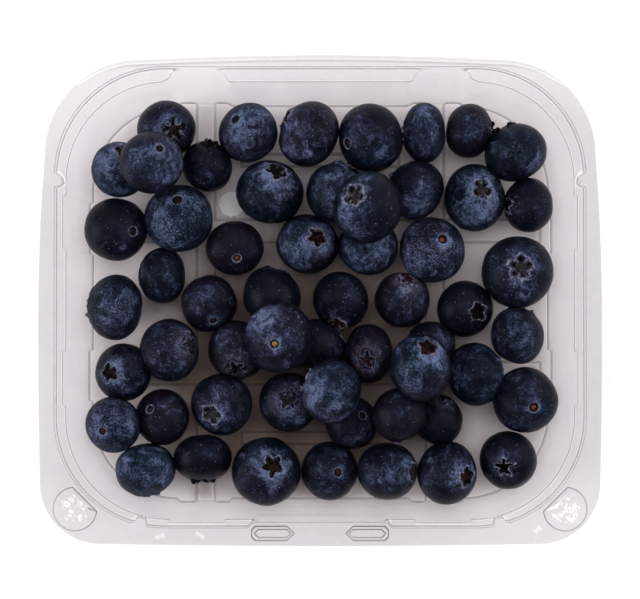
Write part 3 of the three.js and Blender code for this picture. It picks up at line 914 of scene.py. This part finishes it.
# %% Every berry
FINISH = {  # cover of wax, speckle, redness of the skin, gloss
    "black": (0.02, 0.10, 0.15, 1.0),
    "dark": (0.16, 0.30, 0.25, 0.7),
    "charcoal": (0.26, 0.30, 0.10, 0.5),
    "purple": (0.20, 0.25, 0.90, 0.6),
    "navy": (0.34, 0.35, 0.05, 0.5),
    "blue": (0.52, 0.40, 0.00, 0.3),
    "lavender": (0.70, 0.50, 0.30, 0.1),
    "speckled": (0.58, 1.00, 0.10, 0.3),
    "mottled": (0.46, 0.70, 0.20, 0.3),
    "grey": (0.58, 0.30, 0.25, 0.2),
}
INSIDE = {  # colour, and how dark the moat round a scar is
    "grey": ("#3d393d", 1),
    "black": ("#0c0a0c", 1),
    "brown": ("#33241a", 1),
    "red": ("#421e22", 1),
    "orange": ("#87451f", 1),
    "yellow": ("#b08c2e", 0.25),
    "dark": ("#1a1413", 1),
}
BERRIES = [
    # back row
    (-54, 35.5, 15, 15, 0.2, 0.6, "crown open grey lavender", 0.6),
    (-44.5, 36.5, 16.5, 16.5, 0.3, 0.4, "scar fruit open dark grey", 0.5, (0.7, 0, 0.4)),
    (-41.5, 46.5, 15.5, 15.5, 0.3, -0.1, "crown spiky grey purple", 0.9, (-0.3, 0.3, 0.4)),
    (-30.5, 36.5, 13.5, 13.5, 0.2, 0.8, "crown spiky black black", 0.3),
    (-19.5, 45.5, 16, 16, -0.4, 0.4, "scar open dark lavender", 0.7),
    (-3, 45, 16, 17.5, -0.7, 0.5, "crown ragged orange grey", 0.7),
    (13.5, 44, 17, 18.5, -0.7, -0.2, "scar open red navy", 0.5),
    (28, 45.5, 11.5, 16, -1, 0, "side open grey grey", 0.5, (0.3, 0.5, 0.3)),
    (40, 46, 12.5, 14.5, 0.9, -0.1, "crown spiky black purple", 0.3, (0.3, 0.2, 0.3)),
    (52.5, 40, 16.5, 15.5, -0.4, 0.8, "crown spiky black navy", 0.4, (0.8, -0.2, 0.4)),
    # second row
    (-55, 19.5, 16.5, 17, 0.6, -0.1, "scar open dark dark", 0.5),
    (-38, 22.5, 18.5, 18, 0, 0.5, "scar open dark speckled", 0.6),
    (-13.5, 29.5, 18, 17, 0.2, 0.6, "crown open black blue", 1.0),
    (4.5, 29, 16.5, 16.5, 0.2, 1, "side cut black grey", 0.5),
    (12.5, 24.5, 18, 19, -0.4, 0.3, "crown fruit open grey charcoal", 0.4, (-0.6, -0.5, 0.4)),
    (25.5, 30, 15.5, 15.5, -1, 0.3, "side open grey charcoal", 0.5, (0, -0.8, 0.5)),
    (41.5, 28, 16.5, 18, 0.2, 0.2, "crown open grey blue", 0.8, (0, -0.3, 0.5)),
    (56, 26, 13, 15, -0.8, 0, "crown ragged black black", 0.4),
    # third row
    (-23, 14.5, 15.5, 14.5, 0.1, -0.4, "scar open orange purple", 0.5),
    (-3.5, 15.5, 16.5, 16, 0.3, 0.2, "crown ragged red grey", 0.9),
    (13, 15, 16, 16, 0.1, 0.5, "crown star grey blue", 0.6, (0.4, -0.4, 0.4)),
    (30, 14, 17.5, 17.5, 0.3, 0.3, "scar open orange speckled", 1.0),
    # middle row
    (-55, -1.5, 14.5, 17.5, -0.9, 0.1, "crown open grey mottled", 0.6),
    (-42.5, 7, 12.5, 15, -0.9, 0, "crown star black navy", 0.5),
    (-30, -0.5, 15, 15, 0.2, -0.6, "scar open red purple", 0.8, (-0.4, 0.4, 0.3)),
    (-13, 1.5, 15.5, 15.5, 0.3, 1, "side open grey black", 0.5),
    (5.5, 0.5, 15, 15, -0.1, -0.8, "crown open red dark", 0.8),
    (22, 0.5, 15, 14.5, 0.2, 0.7, "crown star red purple", 0.7, (0.2, 0.3, 0.45)),
    (39, -2, 15, 15, 0.4, -0.1, "crown ragged black black", 0.4),
    (53, 8, 19.5, 19.5, 0, 0.1, "crown open grey navy", 0.5),
    # fifth row
    (-40.5, -13, 15.5, 17, 0.7, 0.2, "crown star grey mottled", 0.7),
    (-22.5, -13, 15.5, 15.5, 0, -0.6, "crown star black dark", 0.6, (0, 0.4, 0.3)),
    (-11, -9.5, 18, 18.5, -0.1, -0.2, "scar fruit open yellow grey", 0.6, (-0.5, 0.5, 0.4)),
    (-0.5, -11.5, 14, 14, 1, 0.5, "side open grey dark", 0.5),
    (13, -14, 13, 16, -0.1, -0.2, "crown star red purple", 1.0),
    (29.5, -12, 13.5, 13.5, -1, 0.4, "side open grey dark", 0.5, (0.7, 0, 0.4)),
    (53, -9, 14.5, 15, 0.2, 1, "side open grey mottled", 0.5),
    # sixth row
    (-53, -19, 15, 15.5, -0.4, 0, "crown ragged brown navy", 1.0),
    (-26.5, -27.5, 16.5, 16.5, -0.3, -0.3, "crown open grey navy", 0.7),
    (-8.5, -27, 16, 16, 0, 0.1, "crown star grey navy", 0.8),
    (3, -24, 15.5, 17, -1, 0.5, "side fruit open grey grey", 0.7, (-0.3, -0.2, 0.3)),
    (8.5, -32.5, 14, 14, 0.4, 0.3, "scar open dark dark", 0.5),
    (21, -30, 14.5, 14.5, 0.3, -1, "side fruit open grey purple", 0.5),
    (26.5, -17.5, 16, 17.5, 0.2, 0.6, "crown fruit ragged red mottled", 0.9),
    (41.5, -19.5, 15, 17, 1, 0.2, "side open grey blue", 0.5),
    (55, -26.5, 17.5, 17.5, 0.2, -0.2, "scar open orange navy", 1.0),
    # seventh row
    (-55.5, -33, 15, 15, -0.3, -0.2, "scar wall open red speckled", 0.7),
    (-42.5, -31, 14.5, 15, -0.4, 0.3, "scar open red purple", 0.4),
    (-47, -45, 16, 14, 0.2, -1, "side open grey blue", 0.5),
    (-31.5, -42, 15.5, 12.5, 0, -0.9, "crown spiky black black", 0.4),
    (31.5, -31.5, 13.5, 13.5, 0.2, 0.8, "crown star black dark", 0.5),
    # front row
    (-14.5, -45.5, 18.5, 18.5, 0.2, 0.2, "crown ragged brown navy", 1.0),
    (2.5, -45.5, 15, 15.5, 0.3, 0, "scar open red navy", 1.0),
    (18, -45.5, 16, 15.5, 0.8, 0, "crown open grey navy", 0.6),
    (34, -46, 16, 17, 0.6, -0.1, "crown ragged brown navy", 1.0),
    (50.5, -42.5, 15.5, 15.5, -0.2, -0.2, "crown cut black black", 0.8),
]
print("berries:", len(BERRIES), "mean width:", round(np.mean([row[2:4] for row in BERRIES]), 1), "mm")

# %% [markdown]
# ## From rows to points
#
# Each row becomes a point with attributes. The turn brings the end that shows towards its eye,
# after a chance spin about the berry's own axis. The stretch makes the turned berry as wide as its
# row says. A berry on the floor touches it, and one that lies on others is as high as the first
# contact with them holds it, a little pressed in.

# %% Place the berries
SIDE_TILT = math.radians(95)
PRESSED = 0.95
WALL_LIFT = 3
chance = random.Random(11)


def placed_berry(row, settled):
    """One berry's point and attributes."""
    x, y, size_x, size_y, eye_x, eye_y, words, halo, *patches = row
    shows, *rests, form, filling, finish = words.split()
    patch_x, patch_y, patch = patches[0] if patches else (0, 0, 0)
    colour, moat = INSIDE[filling]
    lean = math.asin(min(1, math.hypot(eye_x, eye_y) / FLATNESS))
    tilt = {"crown": lean, "scar": lean + math.pi, "side": SIDE_TILT}[shows]
    steps = (math.atan2(eye_y, eye_x), "Z"), (tilt, "Y"), (chance.uniform(0, 2 * math.pi), "Z")
    towards, over, spin = (Matrix.Rotation(angle, 3, axis) for angle, axis in steps)
    turned = towards @ over @ spin
    axis = turned @ Vector((0, 0, 1))
    half = [math.sqrt(1 - a * a + (FLATNESS * a) ** 2) / 2 for a in axis]
    stretch = (size_x / 2 / half[0], size_y / 2 / half[1])
    stretch = (*stretch, sum(stretch) / 2)
    girth = (size_x + size_y) / 2
    z = FLOOR_TOP + half[2] * stretch[2] + (WALL_LIFT if "wall" in rests else 0)
    if "fruit" in rests:
        for other, other_girth in settled:
            reach = PRESSED * (girth + other_girth) / 2
            apart = math.dist((x, y), other[:2])
            if apart < reach:
                z = max(z, other[2] + math.sqrt(reach**2 - apart**2))
    settled.append(((x, y, z), girth))
    height = math.sqrt(max(0, 1 - patch_x**2 - patch_y**2))
    return {
        "place": Vector((x, y, z)) * MM,
        "turn": turned.to_euler(),
        "stretch": Vector(stretch) * MM,
        "form": list(CROWNS).index(form),
        "look": FINISH[finish],
        "inside": (*linear(colour)[:3], moat),
        "patch": Vector((patch_x, patch_y, height)) * patch,
        "halo_share": halo,
        "seed": chance.uniform(0, 100),
        "shows": shows,
    }


settled = []
low_first = sorted(BERRIES, key=lambda row: " fruit " in row[6])
heap = [placed_berry(row, settled) for row in low_first]
print("top of the heap:", round(max(place[2] for place, _ in settled), 1), "mm")

# %% [markdown]
# ## Geometry nodes scatter the heap
#
# The tree reads the points' attributes: it puts the right prototype on each point, turns it about
# itself, and then stretches it along the world's axes, which an ordinary scale can't do to a
# turned thing. Noise then makes every berry uneven, and a finer noise tears at the crowns, so that
# no two are alike. Two pieces come out of it, the berries that show their crown and the others.

# %% The heap's node tree
NAMED = "GeometryNodeInputNamedAttribute"
ATTRIBUTES = {
    **{"turn": "FLOAT_VECTOR", "stretch": "FLOAT_VECTOR", "form": "INT", "look": "FLOAT_COLOR"},
    **{"inside": "FLOAT_COLOR", "patch": "FLOAT_VECTOR", "halo_share": "FLOAT", "seed": "FLOAT"},
}
SETTINGS = {  # how far lumps and tears go, and how many of their waves make a metre
    "Unevenness": 1.1 * MM,
    "Lump scale": 90.0,
    "Crown wear": 3.4 * MM,
    "Wear scale": 480.0,
}


def heap_tree(name):
    """The tree that makes a berry of every point."""
    tree = bpy.data.node_groups.new(name, "GeometryNodeTree")
    sockets = {"Points": "Geometry", "Berries": "Collection", "Skin": "Material"}
    for title, kind in {**sockets, **dict.fromkeys(SETTINGS, "Float")}.items():
        tree.interface.new_socket(title, in_out="INPUT", socket_type="NodeSocket" + kind)
    tree.interface.new_socket("Heap", in_out="OUTPUT", socket_type="NodeSocketGeometry")
    given = add(tree, "NodeGroupInput").outputs
    place = add(tree, "GeometryNodeInputPosition")
    marks = add(tree, NAMED, {"Name": "crown_marks"}, data_type="FLOAT_COLOR")
    titles = ("form", "turn", "stretch")
    form, turn, stretch = (
        add(tree, NAMED, {"Name": title}, data_type=ATTRIBUTES[title]) for title in titles
    )

    choice = {"Collection": given["Berries"], "Separate Children": True, "Reset Children": True}
    berries = add(tree, "GeometryNodeCollectionInfo", choice)
    choice = {"Instance": berries, "Pick Instance": True, "Instance Index": form}
    scattered = add(tree, "GeometryNodeInstanceOnPoints", {"Points": given["Points"], **choice})
    rotation = add(tree, "FunctionNodeEulerToRotation", {"Euler": turn})
    turned = add(tree, "FunctionNodeCombineTransform", {"Rotation": rotation})
    stretched = add(tree, "FunctionNodeCombineTransform", {"Translation": place, "Scale": stretch})
    both = add(tree, "FunctionNodeMatrixMultiply", (stretched, turned))
    placed = add(tree, "GeometryNodeSetInstanceTransform", {"Instances": scattered, "Transform": both})
    real = add(tree, "GeometryNodeRealizeInstances", {"Geometry": placed})

    lumps = add(tree, NOISE, {"Vector": place, "Scale": given["Lump scale"], "Detail": 2.0})
    swell = add(tree, MATH, (lumps, 0.5), operation="SUBTRACT")
    swell = add(tree, MATH, (swell, given["Unevenness"]), operation="MULTIPLY")
    normal = add(tree, "GeometryNodeInputNormal")
    swelling = add(tree, VECTOR_MATH, {0: normal, "Scale": swell}, operation="SCALE")

    lip, hollow, halo = add(tree, "FunctionNodeSeparateColor", {"Color": marks}).outputs[:3]
    crown = add(tree, MATH, (lip, hollow), operation="MAXIMUM")
    crown = add(tree, MATH, (halo, 0.6, crown), operation="MULTIPLY_ADD", use_clamp=True)
    crown = add(tree, MATH, (crown, given["Crown wear"]), operation="MULTIPLY")
    tears = add(tree, NOISE, {"Vector": place, "Scale": given["Wear scale"], "Detail": 4.0}).outputs["Color"]
    centred = add(tree, VECTOR_MATH, (tears, (0.5, 0.5, 0.5)), operation="SUBTRACT")
    tearing = add(tree, VECTOR_MATH, {0: centred, "Scale": crown}, operation="SCALE")
    offset = add(tree, VECTOR_MATH, (swelling, tearing), operation="ADD")
    uneven = add(tree, "GeometryNodeSetPosition", {"Geometry": real, "Offset": offset})
    skin = add(tree, "GeometryNodeSetMaterial", {"Geometry": uneven, "Material": given["Skin"]})
    add(tree, "NodeGroupOutput", (skin,))
    print(name, "has", len(tree.nodes), "nodes")
    return tree


tree = heap_tree("scatter_berries")

# %% [markdown]
# ## Skin and wax
#
# The skin itself is nearly black, blue or red where it thins, and glossy. What reads as blue is
# the coat of fine wax over it, and that is never even: handling rubs it off in patches, leaves and
# stalks scratch lines into it, dust sits on it, and it stays thickest round the crown. So the wax
# is one cover value, made of the berry's own amount, three sizes of noise, thin scratches, its
# patch and its halo, and less of it towards the outline as painted shade, so that each berry
# darkens at its edge. Crown and scar are painted over it by their marks.

# %% Berry material
ATTRIBUTE, SPLIT = "ShaderNodeAttribute", "ShaderNodeSeparateColor"
SKIN_BLUE, SKIN_RED, BLACK = "#070a13", "#100b15", "#0a0809"
WAX_TEAL, WAX_VIOLET, WAX_THICK = "#1c2a3c", "#28263b", "#5a6482"
LIP_COLOUR, RED_LIP, RIM_COLOUR, PLUG_EDGE = "#7b7d94", "#a58b96", "#7f839a", "#1c1410"
DUST_COLOUR, SHEEN_TINT = "#8c91a6", "#cdd4ea"
GRAINS = (  # features across a berry, detail, roughness, distortion, share of the cover
    (1.8, 2.0, 0.72, 0.4, 2.2),
    (5.5, 9.0, 0.72, 1.4, 3.0),
)
# ranges, written as for the tray
SCRATCH = (0, 0.02, 0.55, 0)  # how thin, and how deep into the cover
VEIL, THICK = (0.15, 0.9), (0.6, 1.5)  # the cover at which wax shows at all, and at which it is pale
SPECK, BITS, WORN, HUE = (0.07, 0.15, 0.8, 0), (0.5, 0.62, 0, 0.8), (-0.12, 0.08, 0.05, 0.85), (0.35, 0.65)
DULLNESS = (0, 1, 0.45, 0.75)


def berry_material():
    """Dark skin, the wax over it, and the crown and the scar over both."""
    made, tree = blank_material("blueberry_skin_with_bloom")  # dark skin under a patchy pale wax
    titles = ("look", "crown_marks", "scar_marks", "inside", "spot", "seed", "patch", "halo_share")
    look, crown, scar, inside_colour, spot, seed, patch, share = (
        add(tree, ATTRIBUTE, attribute_name=title).outputs for title in titles
    )
    (cover, speckle, red), (lip, hollow, halo), (rim, moat, ring) = (
        add(tree, SPLIT, {"Color": marks["Color"]}).outputs for marks in (look, crown, scar)
    )
    place = add(tree, VECTOR_MATH, (spot["Vector"], seed["Vector"]), operation="ADD")

    # the wax, from its own amount down to its finest grain, a quarter of a millimetre wide
    wax = add(tree, MATH, (cover, 0.05), operation="ADD")
    grainy = add(tree, MATH, (speckle, 2.6, 0.7), operation="MULTIPLY_ADD")
    for scale, detail, rough, bent, amount in (*GRAINS, (60.0, 2.0, 0.5, 0.0, grainy)):
        grain = {"Scale": scale, "Detail": detail, "Roughness": rough, "Distortion": bent}
        fine = add(tree, NOISE, {"Vector": place, **grain})
        fine = add(tree, MATH, (fine, 0.5), operation="SUBTRACT")
        wax = add(tree, MATH, (fine, amount, wax), operation="MULTIPLY_ADD")

    # a patch that stayed, on the side that it faces
    normal = add(tree, "ShaderNodeNewGeometry").outputs["Normal"]
    facing = add(tree, VECTOR_MATH, (normal, patch["Vector"]), operation="DOT_PRODUCT")
    size = add(tree, VECTOR_MATH, (patch["Vector"],), operation="LENGTH")
    facing = add(tree, MATH, (size, -0.55, facing), operation="MULTIPLY_ADD")
    facing = add(tree, MATH, (facing, 0.0), operation="MAXIMUM")

    # a halo round the crown and the scar
    around = add(tree, MATH, (halo, ring), operation="MAXIMUM")
    around = add(tree, MATH, (around, share["Fac"]), operation="MULTIPLY")

    # thin curved lines where it is scratched through
    lines = add(tree, NOISE, {"Vector": place, "Scale": 3.5, "Detail": 3.0, "Distortion": 2.2})
    lines = add(tree, MATH, (lines, 0.5), operation="SUBTRACT")
    lines = add(tree, MATH, (lines,), operation="ABSOLUTE")
    lines = add(tree, RANGE, (lines, *SCRATCH))

    # painted shade: less wax towards the outline, where the berry is seen at a glancing angle, so that each
    # berry darkens at its edge
    edge = add(tree, "ShaderNodeLayerWeight", {"Blend": 0.5}).outputs["Facing"]
    edge = add(tree, MATH, (edge, 2.0), operation="POWER")
    for part, amount in ((facing, 2.0), (around, 0.55), (lines, -1.0), (edge, -0.8)):
        wax = add(tree, MATH, (part, amount, wax), operation="MULTIPLY_ADD")

    # pale dust, a tenth of a millimetre wide, in a third of its cells
    dust = add(tree, "ShaderNodeTexVoronoi", {"Vector": place, "Scale": 19.0}).outputs
    dusty = add(tree, RANGE, (dust["Distance"], *SPECK))
    some = add(tree, SPLIT, {"Color": dust["Color"]})
    some = add(tree, MATH, (some, 0.66), operation="GREATER_THAN")

    # the crown's hollow is painted near black, with dry bits of the flower in it, more of them on its bottom
    bits = add(tree, NOISE, {"Vector": place, "Scale": 24.0, "Detail": 3.0})
    bits = add(tree, RANGE, (bits, *BITS))
    bottom = add(tree, MATH, (crown["Alpha"], 0.4), operation="MULTIPLY")
    bits = add(tree, MATH, (bits, bottom), operation="MAXIMUM")

    # colours that are two in one, each by what mixes them
    veil = add(tree, RANGE, (wax, *VEIL), interpolation_type="SMOOTHSTEP")
    thick = add(tree, RANGE, (wax, *THICK), interpolation_type="SMOOTHSTEP")
    hue = add(tree, NOISE, {"Vector": place, "Scale": 1.1, "Detail": 2.0})
    hue = add(tree, RANGE, (hue, *HUE))
    worn = add(tree, RANGE, (fine, *WORN))
    inner = inside_colour["Color"]
    skin, thin, lips, hollow_paint, plug = (
        add(tree, MIX, {0: by, 6: linear(first), 7: second}, data_type="RGBA")
        for by, first, second in (
            (red, SKIN_BLUE, linear(SKIN_RED)),
            (hue, WAX_TEAL, linear(WAX_VIOLET)),
            (red, LIP_COLOUR, linear(RED_LIP)),
            (bits, BLACK, inner),
            (worn, PLUG_EDGE, inner),
        )
    )
    coat = add(tree, MIX, {0: thick, 6: thin, 7: linear(WAX_THICK)}, data_type="RGBA")

    # one over the other: wax, dust, the crown's hollow and lip, the scar's rim, moat and plug
    dusty, lip_edge, rim_edge, moat = (
        add(tree, MATH, (mark, amount), operation="MULTIPLY")
        for mark, amount in ((dusty, some), (lip, worn), (rim, worn), (moat, inside_colour["Alpha"]))
    )
    colour = skin
    for mask, paint in (
        *((veil, coat), (dusty, linear(DUST_COLOUR)), (hollow, hollow_paint), (lip_edge, lips)),
        *((rim_edge, linear(RIM_COLOUR)), (moat, linear(BLACK)), (scar["Alpha"], plug)),
    ):
        colour = add(tree, MIX, {0: mask, 6: colour, 7: paint}, data_type="RGBA")

    # wax is dull and skin is glossy
    dull = add(tree, RANGE, (veil, *DULLNESS))
    rough = add(tree, MATH, (look["Alpha"], -0.12, dull), operation="MULTIPLY_ADD")
    rough = add(tree, MATH, (rough, hollow), operation="MAXIMUM")
    height = add(tree, MATH, (fine, wax), operation="ADD")
    bump = add(tree, "ShaderNodeBump", {"Height": height, "Strength": 0.3, "Distance": 0.0001})
    sheen = {"IOR": 1.4, "Specular IOR Level": 0.13, "Specular Tint": linear(SHEEN_TINT)}
    surface = {"Base Color": colour, "Roughness": rough, "Normal": bump, **sheen}
    surface = add(tree, "ShaderNodeBsdfPrincipled", surface)
    add(tree, "ShaderNodeOutputMaterial", {"Surface": surface})
    print(made.name, "has", len(tree.nodes), "nodes")
    return made


skin = berry_material()

# %% [markdown]
# ## Both halves of the heap
#
# One set of values drives both pieces. Lumps a centimetre wide swell or dent a berry by half a
# millimetre, and a noise of two millimetres and less pulls at the thin edges of the crowns. The
# finished pieces are plain meshes, and the prototypes go.

# %% Grow the heap


def grow(name, berries):
    """One piece of the heap: its points, then the node tree's work on them, frozen."""
    made = mesh_piece(name, [], [])
    made.data.from_pydata([berry["place"] for berry in berries], [], [])
    for title, kind in ATTRIBUTES.items():
        keep_beside(made, title, kind, [berry[title] for berry in berries])
    scatter = made.modifiers.new("Heap", "NODES")
    scatter.node_group = tree
    settings = {"Berries": prototypes, "Skin": skin, **SETTINGS}
    for item in tree.interface.items_tree:
        if item.name in settings:
            scatter[item.identifier] = settings[item.name]
    made.data.update()
    freeze(made)
    made.data.shade_smooth()
    print(name, len(berries), "berries,", triangles(made), "triangles")
    return made


crown_berries = grow("berries_crown_up", [berry for berry in heap if berry["shows"] == "crown"])
other_berries = grow("berries_stalk_up", [berry for berry in heap if berry["shows"] != "crown"])
for berry in list(prototypes.objects):
    bpy.data.objects.remove(berry)
bpy.data.collections.remove(prototypes)

# %% [markdown]
# ## Hand the pieces over
#
# The tray stands for the imported tray, and the two heaps together for the imported heap. Nothing
# moves, so all three ride on the one body.

# %% Ride and replace
for piece, node, finish in (
    (tray, "punnet_tray", "clear_tray"),
    (crown_berries, "blueberries", "berry_skin"),
    (other_berries, "blueberries", "berry_skin"),
):
    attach(piece, "root")
    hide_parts(node)
    print(piece.name, "replaces", node, "with the finish", finish)

# %% [markdown]
# ## Floor, light and camera
#
# The tray stands on a plain white table that reaches far past it on all sides, as in a studio
# where the background is meant to vanish.

# %% Floor
TABLE_HALF, TABLE_DROP = 3000, 0.03
sides = ((-1, -1), (1, -1), (1, 1), (-1, 1))
corners = [(x * TABLE_HALF, y * TABLE_HALF, -TABLE_DROP) for x, y in sides]
floor_piece = mesh_piece("table", corners, [(0, 1, 2, 3)])
white = bpy.data.materials.new("white_table")  # plain matt white board
white.use_nodes = True
board = white.node_tree.nodes["Principled BSDF"].inputs
board["Base Color"].default_value = (0.97, 0.97, 0.97, 1)
board["Roughness"].default_value = 0.9
floor_piece.data.materials.append(white)
print("the table is", 2 * TABLE_HALF * MM, "m wide")

# %% [markdown]
# Five soft lights stand round it: broad ones behind, above and at the right, a low one at the left
# that draws a thin second highlight, and a small weak one in front. The camera looks straight
# down from 0.6 m.

# %% Lights and camera
AIM = Vector((0, 0, 0.02))
BOXES = {  # where each stands and its two sides, in metres, and its power in watts
    "left_box": ((-1.0, -0.15, 0.45), (0.7, 0.45), 9),
    "right_box": ((1.1, 0.3, 0.6), (1.5, 0.8), 12),
    "back_box": ((0, 1.2, 0.6), (1.5, 0.8), 5.5),
    "top_box": ((0, 0.3, 1.25), (1.2, 0.8), 7),
    "front_box": ((0.06, -0.75, 0.95), (0.6, 0.4), 1.2),
}
CAMERA_PLACE, CAMERA_AIM = Vector((0.00153, -0.00868, 0.6144)), Vector((0, 0.00013, 0.040))

for name, (place, size, power) in BOXES.items():
    light = bpy.data.lights.new(name, "AREA")
    light.shape = "RECTANGLE"
    light.size, light.size_y = size
    light.energy = power
    box = bpy.data.objects.new(name, light)
    box.location = place
    box.rotation_euler = (AIM - Vector(place)).to_track_quat("-Z", "Y").to_euler()
    scene.collection.objects.link(box)

world = bpy.data.worlds.new("studio")
scene.world = world
world.use_nodes = True
air = world.node_tree.nodes["Background"].inputs
air["Color"].default_value = linear("#f2f4f8")
air["Strength"].default_value = 0.3

lens = bpy.data.cameras.new("camera")
lens.lens, lens.sensor_width = 126.56, 36
camera = bpy.data.objects.new("camera", lens)
camera.location = CAMERA_PLACE
backwards = (CAMERA_PLACE - CAMERA_AIM).normalized()
across = Vector((0, 1, 0)).cross(backwards).normalized()
camera.rotation_euler = Matrix((across, backwards.cross(across), backwards)).transposed().to_euler()
scene.collection.objects.link(camera)
scene.camera = camera
scene.view_settings.view_transform = "Standard"
print("lights:", len(BOXES), "camera height:", round(camera.location.z, 2), "m")
